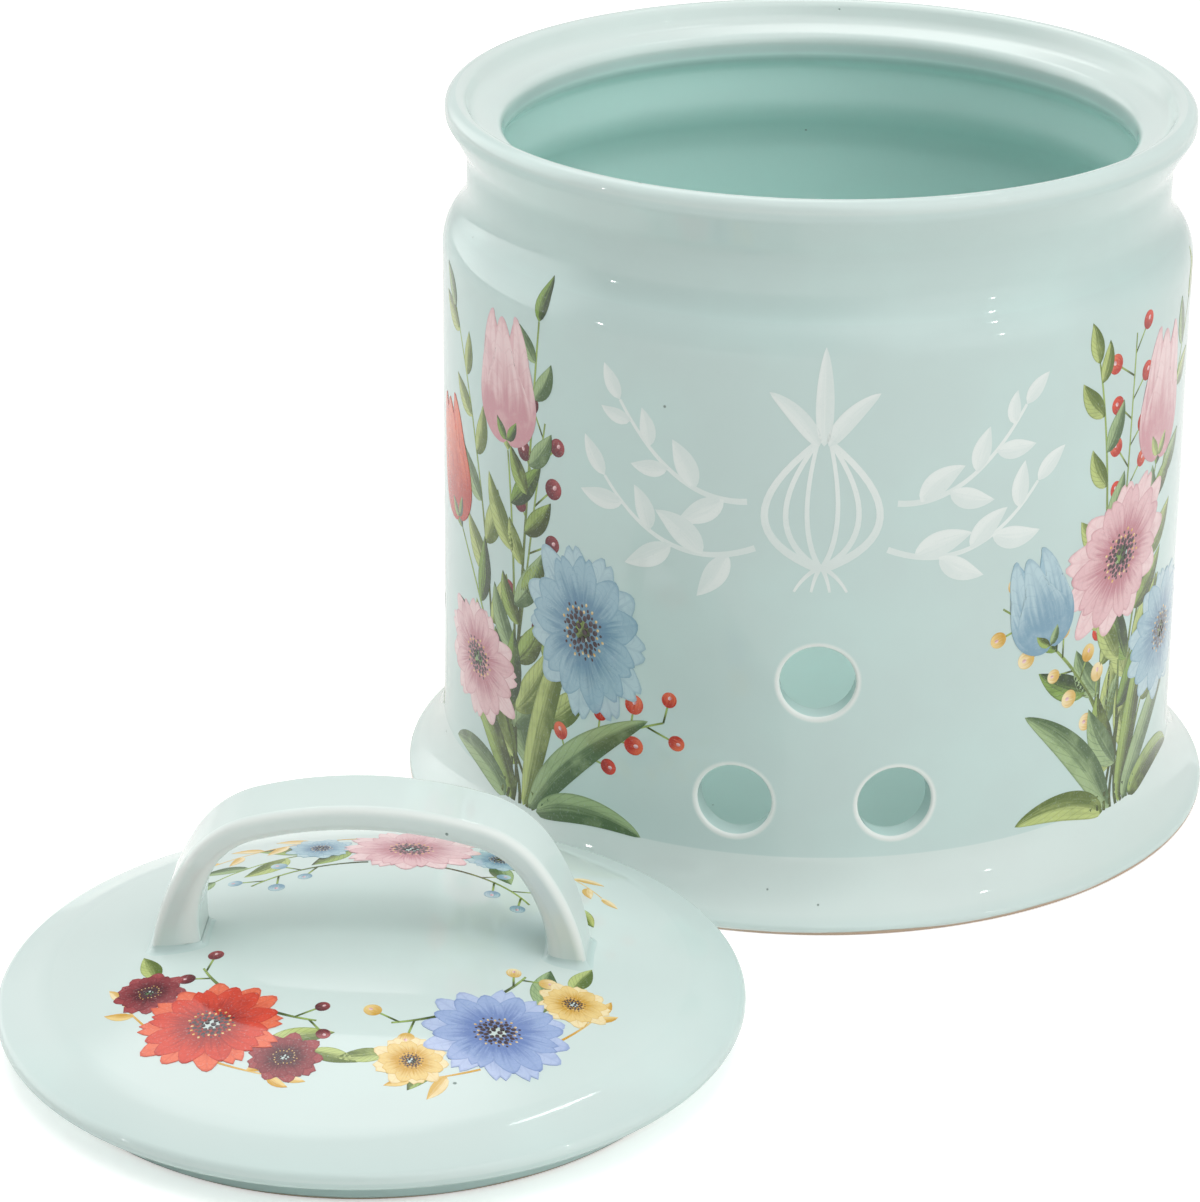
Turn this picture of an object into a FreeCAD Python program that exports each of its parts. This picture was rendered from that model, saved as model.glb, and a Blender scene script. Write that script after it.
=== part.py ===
import FreeCAD, Part
import math
import os

import Sketcher

# Onion keeper: a vented stoneware canister, and its lid with a strap handle, taken off and laid
# on the table in front of it. Millimetres, +Z up. The origin is the centre of the canister's
# foot, on the table, and the vent holes face -Y.

SIZES = [
    # canister: wall and base
    ("body_radius", 90.0, "outer radius of the wall, half-way up"),
    ("body_draft", 0.3, "how much wider the wall is at the foot, and narrower at the shoulder"),
    ("wall", 6.0, "thickness of the wall"),
    ("wall_height", 140.3, "height where the wall turns in to the shoulder"),
    ("floor_thickness", 6.5, "thickness of the base"),
    ("floor_round", 10.0, "rounding between floor and wall, inside"),
    # canister: foot
    ("foot_flare", 9.1, "how far the foot stands out from the wall"),
    ("foot_edge_height", 1.8, "height of the foot's upright edge"),
    ("foot_slope_height", 8.3, "height of the foot's slope above that edge"),
    ("foot_sweep", 20.0, "radius of the slope's run into the wall"),
    ("foot_edge_round", 1.6, "rounding of the foot's outer edge"),
    ("foot_ring_round", 0.8, "rounding of the edges that stand on the table"),
    ("foot_ring_width", 13.1, "width of the ring that stands on the table"),
    ("foot_recess", 2.5, "how far the base is raised inside that ring"),
    # canister: shoulder, neck and rim
    ("shoulder_rise", 7.2, "height of the shoulder"),
    ("shoulder_round", 11.5, "rounding at both ends of the shoulder"),
    ("neck_inset", 5.8, "how far the neck lies inside the wall"),
    ("neck_height", 12.0, "height of the neck"),
    ("neck_wall", 6.2, "thickness of the neck"),
    ("inside_drop", 2.1, "how much lower the shoulder lies on the inside"),
    ("rim_flare", 5.0, "how far the rim stands out from the neck"),
    ("rim_rise", 8.7, "height of the slope from the neck to the rim"),
    ("rim_sweep", 9.0, "rounding between the neck and the rim"),
    ("rim_band", 4.7, "height of the rim above that slope"),
    ("rim_thickness", 6.0, "thickness of the rim's lip"),
    ("rim_round", 2.9, "rounding of the lip"),
    # canister: lid seat and mouth
    ("seat_depth", 4.5, "how far the seat's outer side is sunk below the rim"),
    ("seat_width", 7.6, "width of the seat from the lip to the mouth"),
    ("seat_fall", 2.2, "how much the seat drops over its width"),
    ("seat_round", 1.5, "rounding between lip and seat"),
    ("mouth_land", 5.5, "height of the upright ring inside the mouth"),
    ("mouth_round", 2.6, "rounding from the seat into the mouth"),
    ("mouth_undercut", 3.1, "height over which the mouth widens to the neck"),
    # canister: vent holes
    ("vent_diameter", 17.4, "bore of a vent hole"),
    ("vent_low_height", 29.0, "height of the two lower vent holes"),
    ("vent_high_height", 59.7, "height of the single upper vent hole"),
    ("vent_spread", 11.9, "angle from the front to each lower vent hole, degrees"),
    ("vent_round", 0.75, "rounding of the glazed edge round a vent hole"),
    # lid
    ("lid_edge_clearance", 1.0, "gap between the lid's edge and the lip"),
    ("lid_ring_clearance", 2.4, "gap between the lid's locating ring and the mouth"),
    ("lid_ring_height", 6.0, "how far the locating ring stands out below the lid's edge"),
    ("lid_ring_thickness", 6.0, "thickness of the locating ring"),
    ("lid_ring_round", 1.0, "rounding of the locating ring's edges"),
    ("lid_ring_root_round", 3.0, "rounding between the locating ring and the underside"),
    ("lid_edge_height", 4.7, "height of the lid's upright edge"),
    ("lid_edge_round", 2.4, "rounding of the lid's edge"),
    ("lid_bevel_width", 9.9, "width of the steeper band inside the lid's edge"),
    ("lid_bevel_rise", 4.0, "rise of that band"),
    ("lid_bevel_round", 34.0, "rounding between that band and the dome"),
    ("lid_dome_rise", 9.8, "rise of the dome above that band"),
    ("lid_dome_flat", 1.5, "radius of the flat spot in the dome's middle"),
    ("lid_thickness", 6.2, "thickness of the dome"),
    # handle
    ("handle_rise", 34.1, "height of the strap's upper side above the dome"),
    ("strap_width", 17.2, "width of the strap"),
    ("strap_thickness", 6.8, "thickness of the strap"),
    ("strap_round", 2.9, "rounding of the strap's long edges"),
    ("arch_top_sweep", 90.6, "radius of the arch's top"),
    ("arch_top_tilt", 15.4, "tilt of the strap where the top ends, degrees"),
    ("arch_shoulder_sweep", 20.7, "radius of the arch's shoulders"),
    ("arch_shoulder_tilt", 56.6, "tilt of the strap where a shoulder ends, degrees"),
    ("arch_leg_sweep", 75.6, "radius of the arch's legs"),
    # where the lid lies
    ("lid_gap", 0.6, "gap between the lid and the canister"),
    ("lid_stand", 0.25, "height of the lid over the table: its fired ring stands on high spots"),
    ("lid_bearing", 33.7, "direction of the lid from the canister, degrees from -Y towards -X"),
    ("lid_turn", 2.5, "turn of the lid about its own axis, degrees clockwise from above"),
]

doc = FreeCAD.newDocument("onion_keeper")
sheet = doc.addObject("Spreadsheet::Sheet", "sizes")
for row, (alias, value, note) in enumerate(SIZES, start=1):
    sheet.set(f"A{row}", alias)
    sheet.set(f"B{row}", str(value))
    sheet.set(f"C{row}", note)
    sheet.setAlias(f"B{row}", alias)
doc.recompute()

# Sizes that follow from the sheet, as formulas over it.
WALL_LOW = "(sizes.body_radius + sizes.body_draft)"
WALL_HIGH = "(sizes.body_radius - sizes.body_draft)"
FOOT_RADIUS = f"({WALL_LOW} + sizes.foot_flare)"
FOOT_TOP = "(sizes.foot_edge_height + sizes.foot_slope_height)"
FLOOR_TOP = "(sizes.foot_recess + sizes.floor_thickness)"
NECK_RADIUS = f"({WALL_HIGH} - sizes.neck_inset)"
NECK_LOW = "(sizes.wall_height + sizes.shoulder_rise)"
NECK_HIGH = f"({NECK_LOW} + sizes.neck_height)"
RIM_RADIUS = f"({NECK_RADIUS} + sizes.rim_flare)"
RIM_LOW = f"({NECK_HIGH} + sizes.rim_rise)"
HEIGHT = f"({RIM_LOW} + sizes.rim_band)"
SEAT_RADIUS = f"({RIM_RADIUS} - sizes.rim_thickness)"
SEAT_HIGH = f"({HEIGHT} - sizes.seat_depth)"
SEAT_LOW = f"({SEAT_HIGH} - sizes.seat_fall)"
MOUTH_RADIUS = f"({SEAT_RADIUS} - sizes.seat_width)"
MOUTH_LOW = f"({SEAT_LOW} - sizes.mouth_land)"

LID_RADIUS = f"({SEAT_RADIUS} - sizes.lid_edge_clearance)"
RING_RADIUS = f"({MOUTH_RADIUS} - sizes.lid_ring_clearance)"
RING_INNER = f"({RING_RADIUS} - sizes.lid_ring_thickness)"
EDGE_HIGH = "(sizes.lid_ring_height + sizes.lid_edge_height)"
BEVEL_RADIUS = f"({LID_RADIUS} - sizes.lid_bevel_width)"
BEVEL_HIGH = f"({EDGE_HIGH} + sizes.lid_bevel_rise)"
DOME_TOP = f"({BEVEL_HIGH} + sizes.lid_dome_rise)"
# The dome is the arc that rounds off a corner half-way out from its top to the bevel.
DOME_CORNER = f"({BEVEL_RADIUS} / 2)"
DOME_TILT = f"atan(sizes.lid_dome_rise / ({BEVEL_RADIUS} - {DOME_CORNER}))"
DOME_SWEEP = f"(({DOME_CORNER} - sizes.lid_dome_flat) / tan({DOME_TILT} / 2))"
UNDERSIDE = f"({DOME_TOP} - sizes.lid_thickness)"
UNDERSIDE_FALL = f"(({RING_INNER} - {DOME_CORNER}) * tan({DOME_TILT}))"
STRAP_MIDDLE = f"({DOME_TOP} + sizes.handle_rise - sizes.strap_thickness / 2)"


def number(formula):
    """The value of a formula over the sheet."""
    value = sheet.evalExpression(formula)
    return float(getattr(value, "Value", value))


def origin_plane(body, role):
    """One of a body's own origin planes."""
    return next(part for part in body.Origin.OriginFeatures if part.Role == role)


def new_body(name):
    body = doc.addObject("PartDesign::Body", name)
    body.Label = name
    return body


def new_sketch(body, name, role):
    sketch = body.newObject("Sketcher::SketchObject", name)
    sketch.AttachmentSupport = [(origin_plane(body, role), "")]
    sketch.MapMode = "FlatFace"
    return sketch


def pin(sketch, kind, element, point, formula):
    """Ties a point's distance from the sketch's origin to a formula, or puts it on an axis."""
    if formula == "0":
        axis = -2 if kind == "DistanceX" else -1
        sketch.addConstraint(Sketcher.Constraint("PointOnObject", element, point, axis))
        return
    constraint = Sketcher.Constraint(kind, -1, 1, element, point, number(formula))
    index = sketch.addConstraint(constraint)
    sketch.setExpression(f"Constraints[{index}]", formula)


# The most of a run between two corners that their roundings may take up.
RUN_SHARE = 0.99


def round_corners(points, radii):
    """The runs between corners, how far each rounding cuts them back, and the scale of each.

    The scale is 1 unless the full radius would need more than its share of a run.
    """
    count = len(points)
    runs = [points[(i + 1) % count] - points[i] for i in range(count)]
    turns = [runs[i - 1].getAngle(runs[i]) for i in range(count)]
    cuts = [radii[i] * math.tan(turns[i] / 2) for i in range(count)]
    scale = [1.0] * count
    for i in range(count):
        j = (i + 1) % count
        room = RUN_SHARE * runs[i].Length
        if cuts[i] + cuts[j] > room:
            share = room / (cuts[i] + cuts[j])
            scale[i] = min(scale[i], share)
            scale[j] = min(scale[j], share)
    return runs, [cut * s for cut, s in zip(cuts, scale)], scale


def rounded_outline(sketch, corners):
    """A closed outline through corner points, each rounded with an arc of its own radius.

    A corner is (across, up, radius): three formulas over the sheet, with radius None for a
    sharp corner. A rounded corner keeps a construction point, which holds its place.
    """
    points = [FreeCAD.Vector(number(across), number(up), 0) for across, up, _ in corners]
    radii = [0.0 if radius is None else number(radius) for _, _, radius in corners]
    runs, cuts, scale = round_corners(points, radii)
    count = len(corners)
    lines = []
    for i in range(count):
        along = FreeCAD.Vector(runs[i]).normalize()
        start = points[i] + along * cuts[i]
        end = points[(i + 1) % count] - along * cuts[(i + 1) % count]
        lines.append(sketch.addGeometry(Part.LineSegment(start, end), False))
    for i, (across, up, radius) in enumerate(corners):
        before, after = lines[i - 1], lines[i]
        if radius is None:
            sketch.addConstraint(Sketcher.Constraint("Coincident", before, 2, after, 1))
            pin(sketch, "DistanceX", after, 1, across)
            pin(sketch, "DistanceY", after, 1, up)
            continue
        arriving = FreeCAD.Vector(runs[i - 1]).normalize()
        leaving = FreeCAD.Vector(runs[i]).normalize()
        left_turn = arriving.cross(leaving).z > 0
        inward = FreeCAD.Vector(-arriving.y, arriving.x, 0)
        if not left_turn:
            inward = inward * -1
        size = radii[i] * scale[i]
        first = points[i] - arriving * cuts[i]
        last = points[i] + leaving * cuts[i]
        centre = first + inward * size
        low, high = (first, last) if left_turn else (last, first)
        from_angle = math.atan2(low.y - centre.y, low.x - centre.x)
        to_angle = math.atan2(high.y - centre.y, high.x - centre.x)
        circle = Part.Circle(centre, FreeCAD.Vector(0, 0, 1), size)
        arc = sketch.addGeometry(Part.ArcOfCircle(circle, from_angle, to_angle), False)
        arc_in, arc_out = (1, 2) if left_turn else (2, 1)
        sketch.addConstraint(Sketcher.Constraint("Tangent", before, 2, arc, arc_in))
        sketch.addConstraint(Sketcher.Constraint("Tangent", arc, arc_out, after, 1))
        index = sketch.addConstraint(Sketcher.Constraint("Radius", arc, size))
        if scale[i] == 1.0:
            sketch.setExpression(f"Constraints[{index}]", radius)
        corner = sketch.addGeometry(Part.Point(points[i]), True)
        sketch.addConstraint(Sketcher.Constraint("PointOnObject", corner, 1, before))
        sketch.addConstraint(Sketcher.Constraint("PointOnObject", corner, 1, after))
        pin(sketch, "DistanceX", corner, 1, across)
        pin(sketch, "DistanceY", corner, 1, up)
    doc.recompute()


def spin(body, kind, sketch):
    """A Revolution or Groove of a sketch, all the way round the upright axis."""
    feature = body.newObject(f"PartDesign::{kind}", kind.lower())
    feature.Profile = sketch
    feature.ReferenceAxis = (sketch, ["V_Axis"])
    feature.Angle = 360
    doc.recompute()
    return feature


# The canister: one slip-cast vessel, turned about its axis.
canister = new_body("canister")
section = new_sketch(canister, "canister_section", "XZ_Plane")
rounded_outline(section, [
    # underside, foot ring and flared foot
    ("0", "sizes.foot_recess", None),
    (f"{FOOT_RADIUS} - sizes.foot_ring_width", "sizes.foot_recess", "sizes.foot_ring_round"),
    (f"{FOOT_RADIUS} - sizes.foot_ring_width", "0", "sizes.foot_ring_round"),
    (FOOT_RADIUS, "0", "sizes.foot_ring_round"),
    (FOOT_RADIUS, "sizes.foot_edge_height", "sizes.foot_edge_round"),
    # wall, shoulder, neck and rim
    (WALL_LOW, FOOT_TOP, "sizes.foot_sweep"),
    (WALL_HIGH, "sizes.wall_height", "sizes.shoulder_round"),
    (NECK_RADIUS, NECK_LOW, "sizes.shoulder_round"),
    (NECK_RADIUS, NECK_HIGH, "sizes.rim_sweep"),
    (RIM_RADIUS, RIM_LOW, "sizes.rim_round"),
    (RIM_RADIUS, HEIGHT, "sizes.rim_round"),
    (SEAT_RADIUS, HEIGHT, "sizes.rim_round"),
    # lid seat and mouth
    (SEAT_RADIUS, SEAT_HIGH, "sizes.seat_round"),
    (MOUTH_RADIUS, SEAT_LOW, "sizes.mouth_round"),
    (MOUTH_RADIUS, MOUTH_LOW, "sizes.mouth_round"),
    # inside
    (f"{NECK_RADIUS} - sizes.neck_wall", f"{MOUTH_LOW} - sizes.mouth_undercut",
     "sizes.mouth_round"),
    (f"{NECK_RADIUS} - sizes.neck_wall", f"{NECK_LOW} - sizes.inside_drop",
     "sizes.shoulder_round"),
    (f"{WALL_HIGH} - sizes.wall", "sizes.wall_height - sizes.inside_drop",
     "sizes.shoulder_round"),
    (f"{WALL_LOW} - sizes.wall", FLOOR_TOP, "sizes.floor_round"),
    ("0", FLOOR_TOP, None),
])
spin(canister, "Revolution", section)

# The vent holes: punched square to the wall, one above two. Each takes out one plug of the wall,
# and nothing from the back of the canister.
VENTS = [
    ("vent_high", "sizes.vent_high_height", 0),
    ("vent_left", "sizes.vent_low_height", -1),
    ("vent_right", "sizes.vent_low_height", 1),
]
for vent, height, side in VENTS:
    hole = new_sketch(canister, f"{vent}_sketch", "XZ_Plane")
    if side:
        upright = FreeCAD.Vector(0, side, 0)
        turned = FreeCAD.Rotation(upright, number("sizes.vent_spread"))
        hole.AttachmentOffset = FreeCAD.Placement(FreeCAD.Vector(), turned)
        hole.setExpression("AttachmentOffset.Rotation.Angle", "sizes.vent_spread * 1 deg")
    middle = FreeCAD.Vector(0, number(height), 0)
    bore = number("sizes.vent_diameter / 2")
    circle = Part.Circle(middle, FreeCAD.Vector(0, 0, 1), bore)
    rim = hole.addGeometry(circle, False)
    size = hole.addConstraint(Sketcher.Constraint("Radius", rim, bore))
    hole.setExpression(f"Constraints[{size}]", "sizes.vent_diameter / 2")
    pin(hole, "DistanceX", rim, 3, "0")
    pin(hole, "DistanceY", rim, 3, height)
    whole = canister.Shape.Volume
    cut = canister.newObject("PartDesign::Pocket", vent)
    cut.Profile = hole
    cut.setExpression("Length", f"{FOOT_RADIUS} + sizes.wall")
    cut.Reversed = True
    doc.recompute()
    removed = whole - canister.Shape.Volume
    plug = math.pi * bore ** 2 * number("sizes.wall")
    print(f"{vent}: removed {removed:.0f} mm3, a plug of the wall is {plug:.0f} mm3")
    if not plug / 2 < removed < plug * 2:
        raise RuntimeError(f"{vent} doesn't go through the front wall once")


def vent_edges(shape):
    """The names of the edges that bound the vent holes, outside and inside."""
    tolerance = 0.01
    names = []
    for index, edge in enumerate(shape.Edges, start=1):
        middle = edge.valueAt((edge.FirstParameter + edge.LastParameter) / 2)
        for _, height, side in VENTS:
            bearing = math.radians(side * number("sizes.vent_spread"))
            axis = FreeCAD.Vector(math.sin(bearing), -math.cos(bearing), 0)
            foot = FreeCAD.Vector(0, 0, number(height))
            along = (middle - foot).dot(axis)
            off_axis = (middle - foot - axis * along).Length
            on_bore = abs(off_axis - number("sizes.vent_diameter / 2")) < tolerance
            lengthwise = edge.Curve.TypeId == "Part::GeomLine"
            if on_bore and along > 0 and not lengthwise:
                names.append(f"Edge{index}")
    return names


holed = canister.Tip
soft_edges = canister.newObject("PartDesign::Fillet", "vent_glaze_edges")
soft_edges.Base = (holed, vent_edges(holed.Shape))
soft_edges.setExpression("Radius", "sizes.vent_round")
doc.recompute()

# The lid: a low dome with a rounded edge, hollow underneath, on a ring that drops into the mouth.
DOME = [
    (LID_RADIUS, EDGE_HIGH, "sizes.lid_edge_round"),
    (BEVEL_RADIUS, BEVEL_HIGH, "sizes.lid_bevel_round"),
    (DOME_CORNER, DOME_TOP, DOME_SWEEP),
    ("0", DOME_TOP, None),
]
lid = new_body("lid")
section = new_sketch(lid, "lid_section", "XZ_Plane")
rounded_outline(section, [
    ("0", UNDERSIDE, None),
    (DOME_CORNER, UNDERSIDE, f"{DOME_SWEEP} - sizes.lid_thickness"),
    (RING_INNER, f"{UNDERSIDE} - {UNDERSIDE_FALL}", "sizes.lid_ring_root_round"),
    (RING_INNER, "0", "sizes.lid_ring_round"),
    (RING_RADIUS, "0", "sizes.lid_ring_round"),
    (RING_RADIUS, "sizes.lid_ring_height", "sizes.lid_ring_round"),
    (LID_RADIUS, "sizes.lid_ring_height", "sizes.lid_edge_round"),
    *DOME,
])
spin(lid, "Revolution", section)

# The handle: half the strap is swept along half the arch, from the middle down into the dome,
# then mirrored, and the legs are cut off along the dome that they are stuck to.
handle = new_body("lid_handle")
TOP_REACH = "sizes.arch_top_sweep * sin(sizes.arch_top_tilt * 1 deg)"
SHOULDER_REACH = (
    f"{TOP_REACH} + sizes.arch_shoulder_sweep * (sin(sizes.arch_shoulder_tilt * 1 deg)"
    " - sin(sizes.arch_top_tilt * 1 deg))"
)
arch = new_sketch(handle, "arch", "XZ_Plane")
top_tilt = math.radians(number("sizes.arch_top_tilt"))
shoulder_tilt = math.radians(number("sizes.arch_shoulder_tilt"))
sweeps = [number(f"sizes.arch_{part}_sweep") for part in ("top", "shoulder", "leg")]
centre = FreeCAD.Vector(0, number(STRAP_MIDDLE) - sweeps[0], 0)
centres = [centre]
for tilt, wide, narrow in ((top_tilt, sweeps[0], sweeps[1]), (shoulder_tilt, sweeps[1], sweeps[2])):
    step = wide - narrow
    centre = centre + FreeCAD.Vector(math.sin(tilt), math.cos(tilt), 0) * step
    centres.append(centre)
leg_tilt = math.acos((number(EDGE_HIGH) - centre.y) / sweeps[2])
tilts = [0.0, top_tilt, shoulder_tilt, leg_tilt]
arcs = []
for i in range(3):
    circle = Part.Circle(centres[i], FreeCAD.Vector(0, 0, 1), sweeps[i])
    start, end = math.pi / 2 - tilts[i + 1], math.pi / 2 - tilts[i]
    arcs.append(arch.addGeometry(Part.ArcOfCircle(circle, start, end), False))
for upper, lower in ((arcs[0], arcs[1]), (arcs[1], arcs[2])):
    arch.addConstraint(Sketcher.Constraint("Tangent", upper, 1, lower, 2))
for arc, part, sweep in zip(arcs, ("top", "shoulder", "leg"), sweeps):
    index = arch.addConstraint(Sketcher.Constraint("Radius", arc, sweep))
    arch.setExpression(f"Constraints[{index}]", f"sizes.arch_{part}_sweep")
pin(arch, "DistanceX", arcs[0], 3, "0")
pin(arch, "DistanceX", arcs[0], 2, "0")
pin(arch, "DistanceY", arcs[0], 2, STRAP_MIDDLE)
pin(arch, "DistanceX", arcs[0], 1, TOP_REACH)
pin(arch, "DistanceX", arcs[1], 1, SHOULDER_REACH)
pin(arch, "DistanceY", arcs[2], 1, EDGE_HIGH)

strap = new_sketch(handle, "strap_section", "YZ_Plane")
rounded_outline(strap, [
    ("-sizes.strap_width / 2", f"{STRAP_MIDDLE} - sizes.strap_thickness / 2", "sizes.strap_round"),
    ("sizes.strap_width / 2", f"{STRAP_MIDDLE} - sizes.strap_thickness / 2", "sizes.strap_round"),
    ("sizes.strap_width / 2", f"{STRAP_MIDDLE} + sizes.strap_thickness / 2", "sizes.strap_round"),
    ("-sizes.strap_width / 2", f"{STRAP_MIDDLE} + sizes.strap_thickness / 2", "sizes.strap_round"),
])
half = handle.newObject("PartDesign::AdditivePipe", "half_strap")
half.Profile = strap
half.Spine = (arch, ["Edge1", "Edge2", "Edge3"])
doc.recompute()
both = handle.newObject("PartDesign::Mirrored", "whole_strap")
both.Originals = [half]
both.MirrorPlane = (origin_plane(handle, "YZ_Plane"), [""])
handle.Tip = both
doc.recompute()

whole = handle.Shape.Volume
below = new_sketch(handle, "below_dome", "XZ_Plane")
rounded_outline(below, [
    ("0", "0", None),
    (LID_RADIUS, "0", None),
    *DOME,
])
spin(handle, "Groove", below)
cut_off = whole - handle.Shape.Volume
print(f"handle: {cut_off:.0f} of {whole:.0f} mm3 cut off along the dome")
if not 0 < cut_off < whole / 2:
    raise RuntimeError("the handle's legs don't end on the dome")

# The lid lies on the table as near to the canister as one gap lets it: the gap to the foot's
# edge, its slope, the sweep above it, and the wall. The lid's edge is a bead, and the sweep an
# arc that the bead lies inside.
BEAD_RADIUS = f"({LID_RADIUS} - sizes.lid_edge_round)"
BEAD_HEIGHT = "(sizes.lid_stand + sizes.lid_ring_height + sizes.lid_edge_round)"
BEAD_REACH = "(sizes.lid_edge_round + sizes.lid_gap)"
SLOPE = "(sizes.foot_flare / sizes.foot_slope_height)"
SWEEP_TOP = f"({FOOT_TOP} + sizes.foot_sweep * tan(atan({SLOPE}) / 2))"
SWEEP_ROOM = (
    f"((sizes.foot_sweep - {BEAD_REACH}) * abs(sizes.foot_sweep - {BEAD_REACH})"
    f" - ({SWEEP_TOP} - {BEAD_HEIGHT}) ^ 2)"
)
CLEAR_OF_EDGE = f"{RING_RADIUS} + {FOOT_RADIUS} + sizes.lid_gap"
CLEAR_OF_SLOPE = (
    f"{BEAD_RADIUS} + {FOOT_RADIUS} + {SLOPE} * (sizes.foot_edge_height - {BEAD_HEIGHT})"
    f" + {BEAD_REACH} * sqrt(1 + {SLOPE} ^ 2)"
)
CLEAR_OF_SWEEP = (
    f"({SWEEP_ROOM} > 0 ? {BEAD_RADIUS} + {WALL_LOW} + sizes.foot_sweep"
    f" - sqrt(abs({SWEEP_ROOM})) : 0)"
)
CLEAR_OF_WALL = f"{LID_RADIUS} + {WALL_LOW} + sizes.lid_gap"
LID_DISTANCE = f"max({CLEAR_OF_EDGE}; {CLEAR_OF_SLOPE}; {CLEAR_OF_SWEEP}; {CLEAR_OF_WALL})"
for body in (lid, handle):
    turn = FreeCAD.Rotation(FreeCAD.Vector(0, 0, -1), number("sizes.lid_turn"))
    body.Placement = FreeCAD.Placement(FreeCAD.Vector(), turn)
    body.setExpression("Placement.Base.x", f"-({LID_DISTANCE}) * sin(sizes.lid_bearing * 1 deg)")
    body.setExpression("Placement.Base.y", f"-({LID_DISTANCE}) * cos(sizes.lid_bearing * 1 deg)")
    body.setExpression("Placement.Base.z", "sizes.lid_stand")
    body.setExpression("Placement.Rotation.Angle", "sizes.lid_turn * 1 deg")
doc.recompute()

for item in doc.Objects:
    if "Invalid" in item.State or "Error" in item.State:
        raise RuntimeError(f"{item.Name} failed: {item.State}")

os.makedirs("parts", exist_ok=True)
for body in (canister, lid, handle):
    shape = body.Shape
    if shape.isNull() or not shape.isValid() or len(shape.Solids) != 1:
        raise RuntimeError(f"{body.Label} is not one valid solid")
    shape.exportStep(f"parts/{body.Label}.step")
    box = shape.optimalBoundingBox(True, False)
    print(
        f"{body.Label}: {shape.Volume / 1000:.1f} cm3,"
        f" X {box.XMin:.1f} to {box.XMax:.1f}, Y {box.YMin:.1f} to {box.YMax:.1f},"
        f" Z {box.ZMin:.1f} to {box.ZMax:.1f}"
    )

# How the lid sits when it is put back: its rounded edge rests on the sloping seat.
seat_slope = math.atan(number("sizes.seat_fall / sizes.seat_width"))
edge_round = number("sizes.lid_edge_round")
contact = number(LID_RADIUS) - edge_round * (1 - math.sin(seat_slope))
seat = number(SEAT_HIGH) - (number(SEAT_RADIUS) - contact) * math.tan(seat_slope)
drop = edge_round * (1 - math.cos(seat_slope))
seated = seat - number("sizes.lid_ring_height") - drop
overall = seated + number(DOME_TOP) + number("sizes.handle_rise")
lift = seated - number("sizes.lid_stand")
print(f"lid seated: raised by {lift:.1f} mm, resting on a circle of radius {contact:.1f} mm")
print(f"height over the handle with the lid on: {overall:.1f} mm")
gap = canister.Shape.distToShape(lid.Shape)[0]
print(f"gap between the canister and the lid on the table: {gap:.2f} mm")
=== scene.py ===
import math
import random

import bmesh
import bpy
import numpy as np
from mathutils import Matrix, Vector


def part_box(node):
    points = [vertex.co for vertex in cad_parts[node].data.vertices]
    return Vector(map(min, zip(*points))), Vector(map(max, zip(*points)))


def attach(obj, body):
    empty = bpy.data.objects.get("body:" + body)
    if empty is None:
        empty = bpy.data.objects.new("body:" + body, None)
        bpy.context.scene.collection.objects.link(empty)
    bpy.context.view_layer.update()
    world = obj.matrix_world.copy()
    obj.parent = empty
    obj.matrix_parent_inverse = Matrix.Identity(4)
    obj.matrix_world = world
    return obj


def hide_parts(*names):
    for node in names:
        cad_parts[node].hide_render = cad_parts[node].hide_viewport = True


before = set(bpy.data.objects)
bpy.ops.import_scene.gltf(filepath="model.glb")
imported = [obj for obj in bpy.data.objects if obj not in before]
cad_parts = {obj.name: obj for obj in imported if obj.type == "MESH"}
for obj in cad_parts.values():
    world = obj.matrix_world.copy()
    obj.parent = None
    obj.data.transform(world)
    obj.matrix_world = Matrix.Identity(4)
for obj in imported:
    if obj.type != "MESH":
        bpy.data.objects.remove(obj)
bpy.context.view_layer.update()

# The canister: slip-cast stoneware, poured into a plaster mould, so it is a turned form with
# every corner softened, 6 mm thick. It is dipped in a pale duck-egg glaze, and its foot ring is
# wiped bare before firing. Lengths are in millimetres until a mesh is made.

MM = 0.001
CANISTER_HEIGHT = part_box("canister")[1].z / MM
FOOT_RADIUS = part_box("canister")[1].x / MM
RECESS = 2.5
FOOT_RING = 13.1
WALL_FOOT = 90.3
WALL_SHOULDER = 89.7
WALL_THICKNESS = 6.0
NECK = 83.9
NECK_INSIDE = 77.7
FOOT_EDGE = 1.8
LIP = 88.9
LIP_THICKNESS = 4.2
SEAT = 82.2
SEAT_DEPTH = 4.8
MOUTH = 75.3
FLOOR_TOP = 9.0
# How much of the pooled colour the inside takes, a thick coat made light as painted light, and how pale
# the inside floor is, as painted light.
INSIDE_POOLING_AND_LIGHT = -0.65
INSIDE_FLOOR_PAINTED_LIGHT = 0.4
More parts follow.
